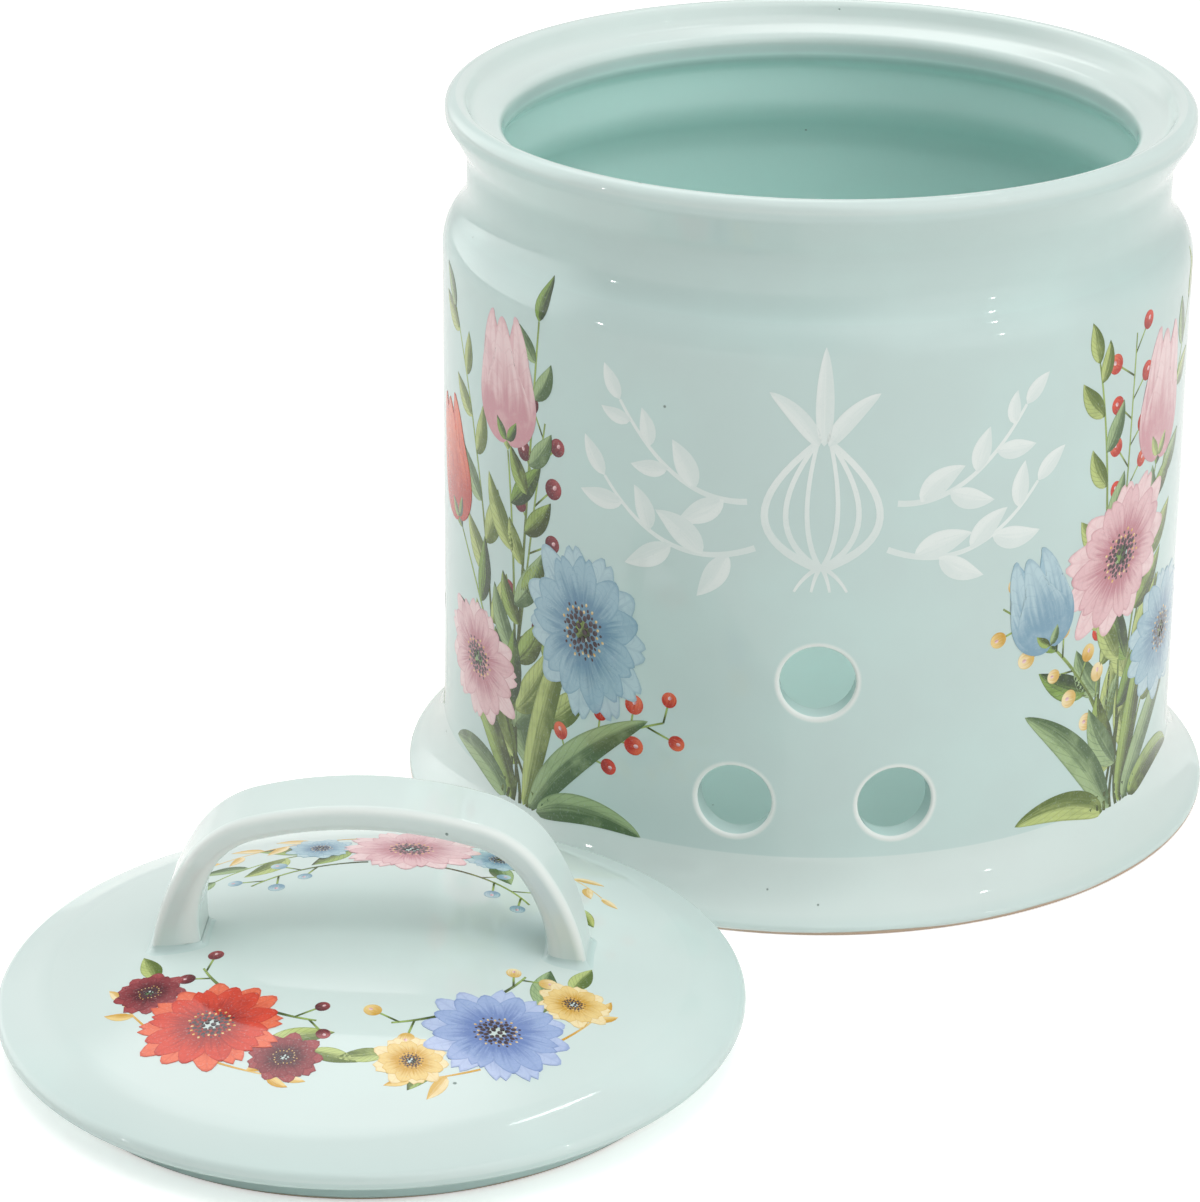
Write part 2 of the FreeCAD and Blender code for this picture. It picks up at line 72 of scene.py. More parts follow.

# Radius, height, rounding, and the glaze's thinness there, which also carries painted light: 1 on
# sharp edges, below 0 where it lies thicker. The inside, filled and poured out, has a thick coat,
# whose pooled colour is made light as painted light for the filled inside, and its floor is paler
# still, as painted light from above. The top of the rim is paler, with thin glaze on the crest and
# painted highlight and painted light over the rest, and the foot's flare is paler as painted light.
CANISTER_OUTLINE = [
    (0, RECESS, 0, 0),
    (FOOT_RADIUS - FOOT_RING, RECESS, 0.8, 0),
    (FOOT_RADIUS - FOOT_RING, 0, 0.8, 0.6),
    (FOOT_RADIUS, 0, 0.8, 1),
    # Paler up the foot's rounding and flare: painted light.
    (FOOT_RADIUS, FOOT_EDGE, 1.6, 0.4),
    (WALL_FOOT, 10.1, 20, 0.5),
    (WALL_SHOULDER, 140.3, 11.5, 0.1),
    (NECK, 147.5, 11.5, -0.15),
    (NECK, 159.5, 9, -0.15),
    (LIP, 168.2, 2.9, 0),
    # Paler over the top of the rim and into its seat: thin glaze on the crest, and painted highlight and
    # painted light over the rest.
    (LIP, CANISTER_HEIGHT, 2.9, 0.4),
    (LIP - LIP_THICKNESS, CANISTER_HEIGHT, 2.9, 0.55),
    (SEAT, CANISTER_HEIGHT - SEAT_DEPTH, 4.5, 0.55),
    (MOUTH, 166.2, 2.6, 0.5),
    (MOUTH, 160.7, 2.6, -0.4),
    (NECK_INSIDE, 157.6, 2.6, -0.8),
    # The inside: the thick coat's pooled colour, made light as painted light.
    (NECK_INSIDE, 145.4, 11.5, INSIDE_POOLING_AND_LIGHT),
    (WALL_SHOULDER - WALL_THICKNESS, 138.2, 11.5, INSIDE_POOLING_AND_LIGHT),
    # Paler over the inside floor: painted light from above.
    (WALL_FOOT - WALL_THICKNESS, FLOOR_TOP, 10, INSIDE_FLOOR_PAINTED_LIGHT),
    (0, FLOOR_TOP, 0, INSIDE_FLOOR_PAINTED_LIGHT),
]
# How finely a rounding is divided, by angle and by length, and how much of a run it may take.
ARC_STEP = math.radians(5)
ARC_LENGTH = 2.5
RUN_SHARE = 0.99


def rounded(outline):
    """Points (radius, height, thinness and sheen) along an outline, with each of its corners rounded.

    Neighbouring roundings share a run that is too short for both.
    """
    corners = [Vector((across, up)) for across, up, *_ in outline]
    count = len(corners)
    turns = [0.0] * count
    for i in range(1, count - 1):
        turns[i] = (corners[i] - corners[i - 1]).angle(corners[i + 1] - corners[i])
    cuts = [rounding * math.tan(turn / 2) for (_, _, rounding, _), turn in zip(outline, turns)]
    scale = [1.0] * count
    for i in range(count - 1):
        room = RUN_SHARE * (corners[i + 1] - corners[i]).length
        if cuts[i] + cuts[i + 1] > room:
            share = room / (cuts[i] + cuts[i + 1])
            scale[i] = min(scale[i], share)
            scale[i + 1] = min(scale[i + 1], share)
    points = []
    for i, (across, up, rounding, thinness_and_sheen) in enumerate(outline):
        if not cuts[i]:
            points.append((across, up, thinness_and_sheen))
            continue
        back = (corners[i - 1] - corners[i]).normalized()
        ahead = (corners[i + 1] - corners[i]).normalized()
        start = corners[i] + back * cuts[i] * scale[i]
        end = corners[i] + ahead * cuts[i] * scale[i]
        radius = rounding * scale[i]
        centre = corners[i] + (back + ahead).normalized() * (radius / math.cos(turns[i] / 2))
        steps = max(2, math.ceil(turns[i] / ARC_STEP), math.ceil(radius * turns[i] / ARC_LENGTH))
        for step in range(steps + 1):
            share = step / steps
            spoke = (start - centre) * math.sin((1 - share) * turns[i])
            spoke += (end - centre) * math.sin(share * turns[i])
            points.append((*(centre + spoke / math.sin(turns[i])), thinness_and_sheen))
    return points


def radius_at(points, height):
    """The radius where a rising or falling run of points passes a height."""
    for (low_r, low_z, _), (high_r, high_z, _) in zip(points, points[1:]):
        if min(low_z, high_z) <= height <= max(low_z, high_z) and low_z != high_z:
            return low_r + (high_r - low_r) * (height - low_z) / (high_z - low_z)
    raise ValueError(f"no point of the outline is {height} mm up")


# Even rows up the straight wall, the same outside and inside, for the vent holes to be set in, and
# a column to each degree.
COLUMNS = 360
ROW_STEP = 2.2
FIRST_ROW = 16.0
ROW_COUNT = 54
wall_rows = [FIRST_ROW + ROW_STEP * i for i in range(ROW_COUNT)]
outline = rounded(CANISTER_OUTLINE)
crest = max(range(len(outline)), key=lambda i: outline[i][1])
outside, inside = outline[:crest], outline[crest:]


def with_rows(points, rows, thinness_and_sheen):
    """The points before the rows' span, the rows themselves, and the points after it."""
    before = [p for p in points if (p[1] < rows[0]) == (rows[0] < rows[-1]) and p[1] != rows[0]]
    after = [p for p in points if (p[1] > rows[-1]) == (rows[0] < rows[-1]) and p[1] != rows[-1]]
    return before, [(radius_at(points, z), z, thinness_and_sheen) for z in rows], after


below, outer_wall, above = with_rows(outside, wall_rows, 0)
over, inner_wall, under = with_rows(inside, wall_rows[::-1], INSIDE_POOLING_AND_LIGHT)
canister_points = below + outer_wall + above + over + inner_wall + under
outer_row = {z: len(below) + i for i, z in enumerate(wall_rows)}
inner_row = {z: len(canister_points) - len(under) - 1 - i for i, z in enumerate(wall_rows)}


def turned(points, columns):
    """Corners (x, y, z, thinness and sheen) and faces of a grid turned round the upright axis.

    Column 0 faces -Y, and the faces are kept by row and column.
    """
    corners, faces = [], {}
    for row, (radius, height, thinness_and_sheen) in enumerate(points):
        for column in range(columns):
            bearing = 2 * math.pi * column / columns
            corners.append((radius * math.sin(bearing), -radius * math.cos(bearing), height, thinness_and_sheen))
            if row:
                beside = (column + 1) % columns
                below_row = (row - 1) * columns
                faces[row - 1, column] = (
                    below_row + column, below_row + beside,
                    row * columns + beside, row * columns + column,
                )
    return corners, faces


corners, faces = turned(canister_points, COLUMNS)

# The vent holes: punched into the leather-hard clay square to the wall, then sponged, so both
# mouths are rounded, and the glaze draws back from them and fires nearly white.
# Each hole's bearing from -Y, in degrees, and its height. Inside the patch round a hole the wall is
# made of rings, and the glaze thins over the halo towards the hole's rounded mouth.
VENTS = [(0, 59.7), (-11.9, 29.0), (11.9, 29.0)]
VENT_RADIUS = 8.7
VENT_ROUND = 0.75
PATCH = 13.0
EDGE_THINNESS = 0.9
HALO_WIDTH = 0.9
ROUND_STEPS = 5


def vent_ring(angles, bearing, height, reach, points, sink):
    """A ring of corners round a vent hole's axis, at a depth below the wall's face."""
    outward = Vector((math.sin(bearing), -math.cos(bearing), 0))
    sideways = Vector((math.cos(bearing), math.sin(bearing), 0))
    ring = []
    for angle, distance in zip(angles, reach):
        across = distance * math.cos(angle)
        level = height + distance * math.sin(angle)
        depth = math.sqrt(radius_at(points, level) ** 2 - across ** 2) - sink
        place = outward * depth + sideways * across
        ring.append((place.x, place.y, level))
    return ring


def face_rings(angles, bearing, height, edge_reach, points, into_wall):
    """Rings from the edge of the patch to the bore, over the rounded mouth of the hole."""
    mouth = VENT_RADIUS + VENT_ROUND
    halo = mouth + HALO_WIDTH
    between = [(edge + halo) / 2 for edge in edge_reach]
    rings = [(vent_ring(angles, bearing, height, between, points, 0), 0)]
    rings.append((vent_ring(angles, bearing, height, [halo] * len(angles), points, 0), 0))
    for step in range(ROUND_STEPS + 1):
        turn = math.pi / 2 * step / ROUND_STEPS
        reach = [VENT_RADIUS + VENT_ROUND * (1 - math.sin(turn))] * len(angles)
        sink = into_wall * VENT_ROUND * (1 - math.cos(turn))
        thinness_and_sheen = EDGE_THINNESS if step < ROUND_STEPS else 0
        rings.append((vent_ring(angles, bearing, height, reach, points, sink), thinness_and_sheen))
    return rings


for azimuth, height in VENTS:
    bearing = math.radians(azimuth)
    half = round(math.degrees(PATCH / WALL_FOOT))
    middle = round(azimuth)
    across = [column % COLUMNS for column in range(middle - half, middle + half + 1)]
    rows = [z for z in wall_rows if abs(z - height) <= PATCH]
    edge = [(rows[0], column) for column in across]
    edge += [(z, across[-1]) for z in rows[1:]]
    edge += [(rows[-1], column) for column in across[-2::-1]]
    edge += [(z, across[0]) for z in rows[-2:0:-1]]
    outer_edge = [outer_row[z] * COLUMNS + column for z, column in edge]
    inner_edge = [inner_row[z] * COLUMNS + column for z, column in edge]
    for z in rows[:-1]:
        for column in across[:-1]:
            faces.pop((outer_row[z], column))
            faces.pop((inner_row[z] - 1, column))
    sideways = Vector((math.cos(bearing), math.sin(bearing), 0))
    angles, outer_reach, inner_reach = [], [], []
    for outer, inner in zip(outer_edge, inner_edge):
        outer_across = Vector(corners[outer][:3]).dot(sideways)
        inner_across = Vector(corners[inner][:3]).dot(sideways)
        level = corners[outer][2] - height
        angles.append(math.atan2(level, outer_across))
        outer_reach.append(math.hypot(level, outer_across))
        inner_reach.append(math.hypot(level, inner_across))
    rings = face_rings(angles, bearing, height, outer_reach, outside, 1)
    rings += face_rings(angles, bearing, height, inner_reach, inside, -1)[::-1]
    loops = [outer_edge]
    for ring, thinness_and_sheen in rings:
        loops.append(range(len(corners), len(corners) + len(ring)))
        corners += [(*place, thinness_and_sheen) for place in ring]
    loops.append(inner_edge)
    for first, second in zip(loops, loops[1:]):
        for i in range(len(first)):
            j = (i + 1) % len(first)
            faces[azimuth, len(faces)] = (first[i], first[j], second[j], second[i])

# Hand-dipped, mould-cast ware is never quite true, and its reflections waver a little.
WAVER = 0.10
# Lobes round the pot, length up it in millimetres, and where the wave starts.
WAVES = ((2, 61, 0.4), (3, 43, 1.9), (5, 97, 4.1))


def waver(x, y, z):
    """How far the surface stands out from a true form, in millimetres."""
    bearing = math.atan2(y, x)
    return sum(WAVER / len(WAVES) * math.sin(lobes * bearing + 2 * math.pi * z / length + start)
               for lobes, length, start in WAVES)


def make_piece(name, corners, faces, place=Matrix.Identity(4)):
    """A smooth mesh object, in metres, from corners (x, y, z, thinness and sheen) in millimetres."""
    mesh = bpy.data.meshes.new(name)
    points = [Vector(corner[:3]) * MM for corner in corners]
    mesh.from_pydata([place @ point for point in points], [], faces)
    thin_glaze_and_sheen = mesh.attributes.new("thin_glaze_and_sheen", "FLOAT", "POINT")
    thin_glaze_and_sheen.data.foreach_set("value", [corner[3] for corner in corners])
    shape = bmesh.new()
    shape.from_mesh(mesh)
    bmesh.ops.delete(shape, geom=[v for v in shape.verts if not v.link_faces], context="VERTS")
    bmesh.ops.remove_doubles(shape, verts=shape.verts, dist=MM / 1000)
    bmesh.ops.recalc_face_normals(shape, faces=shape.faces)
    shape.to_mesh(mesh)
    shape.free()
    mesh.shade_smooth()
    piece = bpy.data.objects.new(name, mesh)
    bpy.context.scene.collection.objects.link(piece)
    piece.modifiers.new("true faces", "WEIGHTED_NORMAL")
    return piece


wavy = []
for x, y, z, thinness_and_sheen in corners:
    out = 1 + waver(x, y, z) / max(math.hypot(x, y), MOUTH)
    wavy.append((x * out, y * out, z, thinness_and_sheen))
canister = make_piece("stoneware_canister", wavy, list(faces.values()))

# The glaze: a glossy, slightly opalescent stoneware glaze over a cream body. It is smooth as
# glass but for pinholes, lies thick and bluer in hollows, and thin and whitish on edges. Its
# whitish colour is also laid on as painted sheen and painted highlight on the rim, the lid and the
# handle, and as painted light on the foot's flare. Its pooled colour is made light as painted light
# inside the pot. The roughness of a fired gloss glaze is about 0.06 and its IOR about 1.5.
GLAZE = "#c6dad7"
# The pooled colour is a stronger aqua but lighter than the glaze: painted light, for the light that
# fills the inside of the pot.
GLAZE_POOLED_WITH_PAINTED_LIGHT = "#d4faf3"
GLAZE_THIN_AND_SHEEN = "#edf2ee"
BARE_CLAY = "#c3ad97"
PINHOLE_GREY = "#8fa09b"
GLAZE_ROUGHNESS = 0.06
CLAY_ROUGHNESS = 0.85
GLAZE_IOR = 1.5
MOTTLE_SIZE = 45 * MM
MOTTLE_SHARE = 0.18
POOLED_SHARE = 0.9
THIN_AND_SHEEN_FROM = 0.1
THIN_AND_SHEEN_SHARE = 0.85
RIPPLE_SIZE = 28 * MM
RIPPLE_HEIGHT = 0.4 * MM
RIPPLE_STRENGTH = 0.15
# Pinholes, where gas broke through the glaze: the middles of rare cells that reach the surface.
# They and the wiped foot are fully bare up to a share of their reach.
PINHOLE_SPACING = 14 * MM
PINHOLE_RADIUS = 0.45 * MM
PIT_DEPTH = 0.3 * MM
PIT_STRENGTH = 0.6
FULLY_BARE = 0.6
# The glaze ends this high over the table, on a line that wanders by the second value.
BARE_HEIGHT = 0.8 * MM
BARE_WANDER = 0.5 * MM


def linear(hex_colour):
    """An sRGB hex colour as linear RGBA."""
    channels = [int(hex_colour[i:i + 2], 16) / 255 for i in (1, 3, 5)]
    return (*[c / 12.92 if c <= 0.04045 else ((c + 0.055) / 1.055) ** 2.4 for c in channels], 1)


def add(tree, kind, settings=(), links=(), **values):
    """Adds a node. Settings are its properties, values its inputs, and links come into it."""
    node = tree.nodes.new(kind)
    for name, value in dict(settings).items():
        setattr(node, name, value)
    for name, value in values.items():
        node.inputs[name.replace("_", " ")].default_value = value
    for socket, source in dict(links).items():
        tree.links.new(source, node.inputs[socket])
    return node


def new_material(name):
    """An empty material, its node tree and its output node."""
    material = bpy.data.materials.new(name)
    material.use_nodes = True
    material.node_tree.nodes.clear()
    output = material.node_tree.nodes.new("ShaderNodeOutputMaterial")
    return material, material.node_tree, output


def ramp(tree, source, low, high, low_value=0.0, high_value=1.0):
    """A value that goes from low_value to high_value while its source goes from low to high."""
    node = add(tree, "ShaderNodeMapRange", {"interpolation_type": "SMOOTHSTEP"}, {"Value": source})
    node.inputs["From Min"].default_value = low
    node.inputs["From Max"].default_value = high
    node.inputs["To Min"].default_value = low_value
    node.inputs["To Max"].default_value = high_value
    return node.outputs["Result"]


def blend(tree, share, first, second):
    """A colour between two, by a share. Each is a linear colour or a socket."""
    node = add(tree, "ShaderNodeMix", {"data_type": "RGBA"})
    tree.links.new(share, node.inputs["Factor"])
    for socket, colour in ((node.inputs[6], first), (node.inputs[7], second)):
        if isinstance(colour, tuple):
            socket.default_value = colour
        else:
            tree.links.new(colour, socket)
    return node.outputs[2]


def glazed_stoneware(name):
    """Gloss glaze on stoneware: mottled, thick and thin places with painted sheen and light, ripples,
    pinholes, a bare foot.
    """
    material, tree, output = new_material(name)
    place = add(tree, "ShaderNodeTexCoord").outputs["Object"]
    thin_glaze_and_sheen = add(tree, "ShaderNodeAttribute", {"attribute_name": "thin_glaze_and_sheen"}).outputs["Fac"]
    mottle = add(tree, "ShaderNodeTexNoise", links={"Vector": place},
                 Scale=1 / MOTTLE_SIZE, Detail=3, Roughness=0.55).outputs["Fac"]
    ripple = add(tree, "ShaderNodeTexNoise", links={"Vector": place},
                 Scale=1 / RIPPLE_SIZE, Detail=1, Roughness=0.4).outputs["Fac"]

    uneven = ramp(tree, mottle, 0.35, 0.75, 0.0, MOTTLE_SHARE)
    colour = blend(tree, uneven, linear(GLAZE), linear(GLAZE_POOLED_WITH_PAINTED_LIGHT))
    # The pooled share, whose colour is made light as painted light, and the thin share, whose whitish
    # colour is also painted sheen and painted highlight.
    colour = blend(tree, ramp(tree, thin_glaze_and_sheen, 0.0, -1.0, 0.0, POOLED_SHARE), colour, linear(GLAZE_POOLED_WITH_PAINTED_LIGHT))
    colour = blend(tree, ramp(tree, thin_glaze_and_sheen, THIN_AND_SHEEN_FROM, 1.0, 0.0, THIN_AND_SHEEN_SHARE), colour, linear(GLAZE_THIN_AND_SHEEN))

    cells = add(tree, "ShaderNodeTexVoronoi", links={"Vector": place}, Scale=1 / PINHOLE_SPACING)
    reach = PINHOLE_RADIUS / PINHOLE_SPACING
    pinhole = ramp(tree, cells.outputs["Distance"], reach, reach * FULLY_BARE)
    up = add(tree, "ShaderNodeSeparateXYZ", links={"Vector": place}).outputs["Z"]
    edge = ramp(tree, mottle, 0.3, 0.7, 0.0, BARE_WANDER)
    over_edge = add(tree, "ShaderNodeMath", {"operation": "SUBTRACT"}, {0: up, 1: edge}).outputs[0]
    wiped = ramp(tree, over_edge, BARE_HEIGHT, BARE_HEIGHT * FULLY_BARE)
    bare = add(tree, "ShaderNodeMath", {"operation": "MAXIMUM"}, {0: pinhole, 1: wiped}).outputs[0]
    colour = blend(tree, pinhole, colour, linear(PINHOLE_GREY))
    colour = blend(tree, wiped, colour, linear(BARE_CLAY))
    roughness = ramp(tree, bare, 0.0, 1.0, GLAZE_ROUGHNESS, CLAY_ROUGHNESS)
    shader = add(tree, "ShaderNodeBsdfPrincipled",
                 links={"Base Color": colour, "Roughness": roughness}, IOR=GLAZE_IOR)
    rippled = add(tree, "ShaderNodeBump", links={"Height": ripple},
                  Strength=RIPPLE_STRENGTH, Distance=RIPPLE_HEIGHT).outputs["Normal"]
    pit = add(tree, "ShaderNodeBump", {"invert": True}, {"Height": bare, "Normal": rippled},
              Strength=PIT_STRENGTH, Distance=PIT_DEPTH)
    tree.links.new(pit.outputs["Normal"], shader.inputs["Normal"])
    tree.links.new(shader.outputs["BSDF"], output.inputs["Surface"])
    return material


glaze = glazed_stoneware("dipped gloss stoneware glaze")
canister.data.materials.append(glaze)
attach(canister, "canister")
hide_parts("canister")

# The lid: the same stoneware, jolleyed as a low dome with a rounded edge. It is hollow
# underneath, and stands on the ring that drops into the canister's mouth.
LID_LOW, LID_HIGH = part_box("lid")
LID_CENTRE = Vector(((LID_LOW.x + LID_HIGH.x) / 2, (LID_LOW.y + LID_HIGH.y) / 2, LID_LOW.z))
LID_TURN = math.radians(-2.5)
LID_PLACE = Matrix.Translation(LID_CENTRE) @ Matrix.Rotation(LID_TURN, 4, "Z")
LID_RADIUS = 81.9
LID_TOP = (LID_HIGH.z - LID_LOW.z) / MM
LID_THICKNESS = 6.2
RING_RADIUS = 72.9
RING_THICKNESS = 6.0
EDGE_LOW = 7.0
EDGE_HIGH = 10.7
BEVEL_RADIUS = 72.0
BEVEL_HIGH = 14.7
DOME_CORNER = BEVEL_RADIUS / 2
DOME_TILT = math.atan((LID_TOP - BEVEL_HIGH) / (BEVEL_RADIUS - DOME_CORNER))
DOME_FLAT = 1.5
DOME_SWEEP = (DOME_CORNER - DOME_FLAT) / math.tan(DOME_TILT / 2)
# How pale the dome is made: painted sheen, a whitish veil for the light its gloss reflects.
DOME_PAINTED_SHEEN = 0.45
UNDERSIDE = LID_TOP - LID_THICKNESS
RING_INSIDE = RING_RADIUS - RING_THICKNESS
# The last value of each corner is the glaze's paleness. On the bevel and dome it is painted sheen; on
# the rounded edge it is part thin glaze and part painted sheen.
LID_OUTLINE = [
    (0, UNDERSIDE, 0, -0.3),
    (DOME_CORNER, UNDERSIDE, DOME_SWEEP - LID_THICKNESS, -0.3),
    (RING_INSIDE, UNDERSIDE - (RING_INSIDE - DOME_CORNER) * math.tan(DOME_TILT), 3, -0.6),
    (RING_INSIDE, 0, 1, 0.5),
    (RING_RADIUS, 0, 1, 0.2),
    (RING_RADIUS, EDGE_LOW, 1, -1.0),
    (LID_RADIUS, EDGE_LOW, 2.4, 0),
    (LID_RADIUS, EDGE_HIGH, 2.4, 0.35),
    (BEVEL_RADIUS, BEVEL_HIGH, 34, 0.42),
    (DOME_CORNER, LID_TOP, DOME_SWEEP, DOME_PAINTED_SHEEN),
    (0, LID_TOP, 0, DOME_PAINTED_SHEEN),
]
lid_points = rounded(LID_OUTLINE)
corners, faces = turned(lid_points, COLUMNS)
lid = make_piece("stoneware_lid", corners, list(faces.values()), LID_PLACE)
lid.data.materials.append(glaze)
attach(lid, "lid")
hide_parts("lid")

# The handle: a strap of the same clay, pressed, bent into an arch and stuck to the lid with
# slip before firing. It narrows down its legs, and the joints are smoothed with a finger, so the
# roots flare.
# The handle in the photo stands this much lower than the frame's.
HANDLE_DROP = 0.6
HANDLE_TOP = (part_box("lid_handle")[1].z - LID_LOW.z) / MM - HANDLE_DROP
STRAP_WIDTH = 18.6
STRAP_THICKNESS = 5.8
STRAP_ROUND = 2.2
STRAP_TAPER = 0.3
# The arch's middle line from its top down: the radius of each stretch, and the strap's tilt in
# degrees where the stretch ends.
ARCH = [(91.1, 15.4), (21.2, 56.6), (53.0, 90.0)]
ROOT_FLARE = 1.6
ROOT_SINK = 0.3
ROOT_SPREAD = 2.0
ROOT_EASE = 2.0
ROOT_TRIES = 30
ROOT_THINNESS = 0.1
# How much thicker the strap is at its left and right root, on its inner side, and how far up.
ROOT_SWELL = {-1: (5.2, 30.0), 1: (2.6, 26.0)}
STRAP_COLUMNS = 40
# How pale the strap is, and how pale along its four rounded edges: thin glaze in part, with painted
# sheen over the strap and painted highlight along its edges.
STRAP_THINNESS_AND_SHEEN = 0.5
STRAP_EDGE_THINNESS_AND_HIGHLIGHT = 0.8
TOP_RINGS = 44
LEG_RINGS = 40
shoulder = math.radians(ARCH[1][1])


def arch_frame(tilt):
    """A point of the arch's middle line, where the strap has tilted by so much."""
    across, up = 0.0, HANDLE_TOP - STRAP_THICKNESS / 2
    start = 0.0
    for sweep, end_tilt in ARCH:
        end = min(abs(tilt), math.radians(end_tilt))
        across += sweep * (math.sin(end) - math.sin(start))
        up += sweep * (math.cos(end) - math.cos(start))
        if abs(tilt) <= math.radians(end_tilt):
            break
        start = end
    return math.copysign(across, tilt), up


def strap_section(share):
    """A point and the outward direction on the strap's section, a rounded bar."""
    flat = STRAP_WIDTH / 2 - STRAP_ROUND
    high = STRAP_THICKNESS / 2 - STRAP_ROUND
    angle = 2 * math.pi * share
    normal = Vector((math.cos(angle), math.sin(angle)))
    corner = Vector((math.copysign(flat, normal.x), math.copysign(high, normal.y)))
    return corner + normal * STRAP_ROUND, normal


def dome_height(radius):
    """The height of the lid's upper face at a radius."""
    return radius_at(dome, radius)


widest = max(range(len(lid_points)), key=lambda i: lid_points[i][0])
dome = [(z, r, 0) for r, z, _ in lid_points[widest:] if z > EDGE_HIGH]


def strap_point(tilt, share):
    """A point of the strap's skin, the way out from its side, and its height over the dome."""
    across, up = arch_frame(tilt)
    (sideways, outward), normal = strap_section(share)
    down_leg = max(0, abs(tilt) - shoulder) / (math.pi / 2 - shoulder)
    sideways *= 1 - STRAP_TAPER * down_leg
    point = Vector((across + outward * math.sin(tilt), sideways, up + outward * math.cos(tilt)))
    away = Vector((normal.y * math.sin(tilt), normal.x, 0))
    return point, away, point.z - dome_height(math.hypot(point.x, point.y))


def root_tilt(share, side):
    """The tilt at which one line along the strap has sunk into the dome."""
    low, high = shoulder, math.radians(ARCH[-1][1])
    for _ in range(ROOT_TRIES):
        middle = (low + high) / 2
        if strap_point(side * middle, share)[2] > -ROOT_SINK:
            low = middle
        else:
            high = middle
    return side * low


corners, faces = [], []
shares = [i / STRAP_COLUMNS for i in range(STRAP_COLUMNS)]
steps = [-1 + i / LEG_RINGS for i in range(LEG_RINGS)]
steps += [i / TOP_RINGS for i in range(TOP_RINGS + 1)]
steps += [1 + (i + 1) / LEG_RINGS for i in range(LEG_RINGS)]
roots = {side: [root_tilt(share, side) for share in shares] for side in (-1, 1)}
for step in steps:
    for column, share in enumerate(shares):
        if step < 0:
            tilt = -shoulder + (roots[-1][column] + shoulder) * (1 - (1 + step) ** ROOT_EASE)
        elif step <= 1:
            tilt = -shoulder + 2 * shoulder * step
        else:
            tilt = shoulder + (roots[1][column] - shoulder) * (1 - (2 - step) ** ROOT_EASE)
        point, away, over_dome = strap_point(tilt, share)
        normal = strap_section(share)[1]
        inner = max(0, -normal.y)
        swell, swell_reach = ROOT_SWELL[1 if tilt > 0 else -1]
        point.x -= math.copysign(swell * inner * max(0, 1 - over_dome / swell_reach) ** 2, tilt)
        # Paler along the rounded edges of the strap's section: thin glaze and painted highlight.
        edge_highlight_share = (2 * normal.x * normal.y) ** 2
        thinness_and_sheen = STRAP_THINNESS_AND_SHEEN + (STRAP_EDGE_THINNESS_AND_HIGHLIGHT - STRAP_THINNESS_AND_SHEEN) * edge_highlight_share
        if over_dome < ROOT_FLARE:
            lift = ROOT_FLARE - max(over_dome, 0)
            flare = ROOT_FLARE - math.sqrt(ROOT_FLARE ** 2 - lift ** 2)
            point += away * (flare + ROOT_SPREAD * max(-over_dome, 0))
            point.z = dome_height(math.hypot(point.x, point.y)) + over_dome
            # Where the flare meets the dome, it takes the dome's painted sheen.
            thinness_and_sheen = ROOT_THINNESS if over_dome > 0 else DOME_PAINTED_SHEEN
        corners.append((*point, thinness_and_sheen))
for ring in range(len(steps) - 1):
    for column in range(STRAP_COLUMNS):
        beside = (column + 1) % STRAP_COLUMNS
        low, high = ring * STRAP_COLUMNS, (ring + 1) * STRAP_COLUMNS
        faces.append((low + column, low + beside, high + beside, high + column))
faces.append(list(range(STRAP_COLUMNS))[::-1])
faces.append(list(range(len(corners) - STRAP_COLUMNS, len(corners))))
handle = make_piece("stoneware_strap_handle", corners, faces, LID_PLACE)
handle.data.materials.append(glaze)
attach(handle, "lid")
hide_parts("lid_handle")

# The decoration on the canister: a printed decal, fired in under a clear gloss. Bunches of
# garden flowers rise from the foot on both sides and round the back. Each leaf and petal is
# a thin skin that follows the glaze, its underside a tenth of a millimetre below.
# How high the first ink lies over the glaze, what each layer adds, how far below the glaze the
# underside lies, and how finely a skin is divided.
INK_LIFT = 0.012
INK_LAYER = 0.004
INK_ROOT = 0.1
INK_CELL = 1.2
FOOT_LEVEL = 13.5
GREENS = [("#414f24", "#9cb562"), ("#33462a", "#85a550"), ("#5c7030", "#bccb7f"), ("#4f6a43", "#a2bb88")]
BLUES = [("#6d93ad", "#a3c3d0"), ("#7fa3b8", "#b9d3da")]
PERIWINKLES = [("#6f86bd", "#9fb3dc"), ("#8297c8", "#b9c8e8")]
PINKS = [("#bf7f8a", "#e6bfc3"), ("#cf98a0", "#efd3d4")]
REDS = [("#a3271f", "#d8432c"), ("#b9301f", "#e8714f")]
BURGUNDIES = [("#571f28", "#8f3c42"), ("#6b2730", "#a3484c")]
GOLDS = [("#cf9f3a", "#ecd08a"), ("#d9b25c", "#f3e2b4")]
DARK_EYE = [("#3a2f33", "#5a464a")]
chance = random.Random(11)
rising = [point for point in outside if point[1] >= FOOT_EDGE]
rising_heights = [height for _, height, _ in rising]
rising_radii = [radius for radius, _, _ in rising]


def on_wall(across, up, lift):
    """A place on the canister's outer face, so far round from the front and so far up."""
    bearing = across / WALL_FOOT
    radius = float(np.interp(up, rising_heights, rising_radii))
    x, y = math.sin(bearing), -math.cos(bearing)
    radius += waver(x * radius, y * radius, up) + lift
    return x * radius, y * radius, up


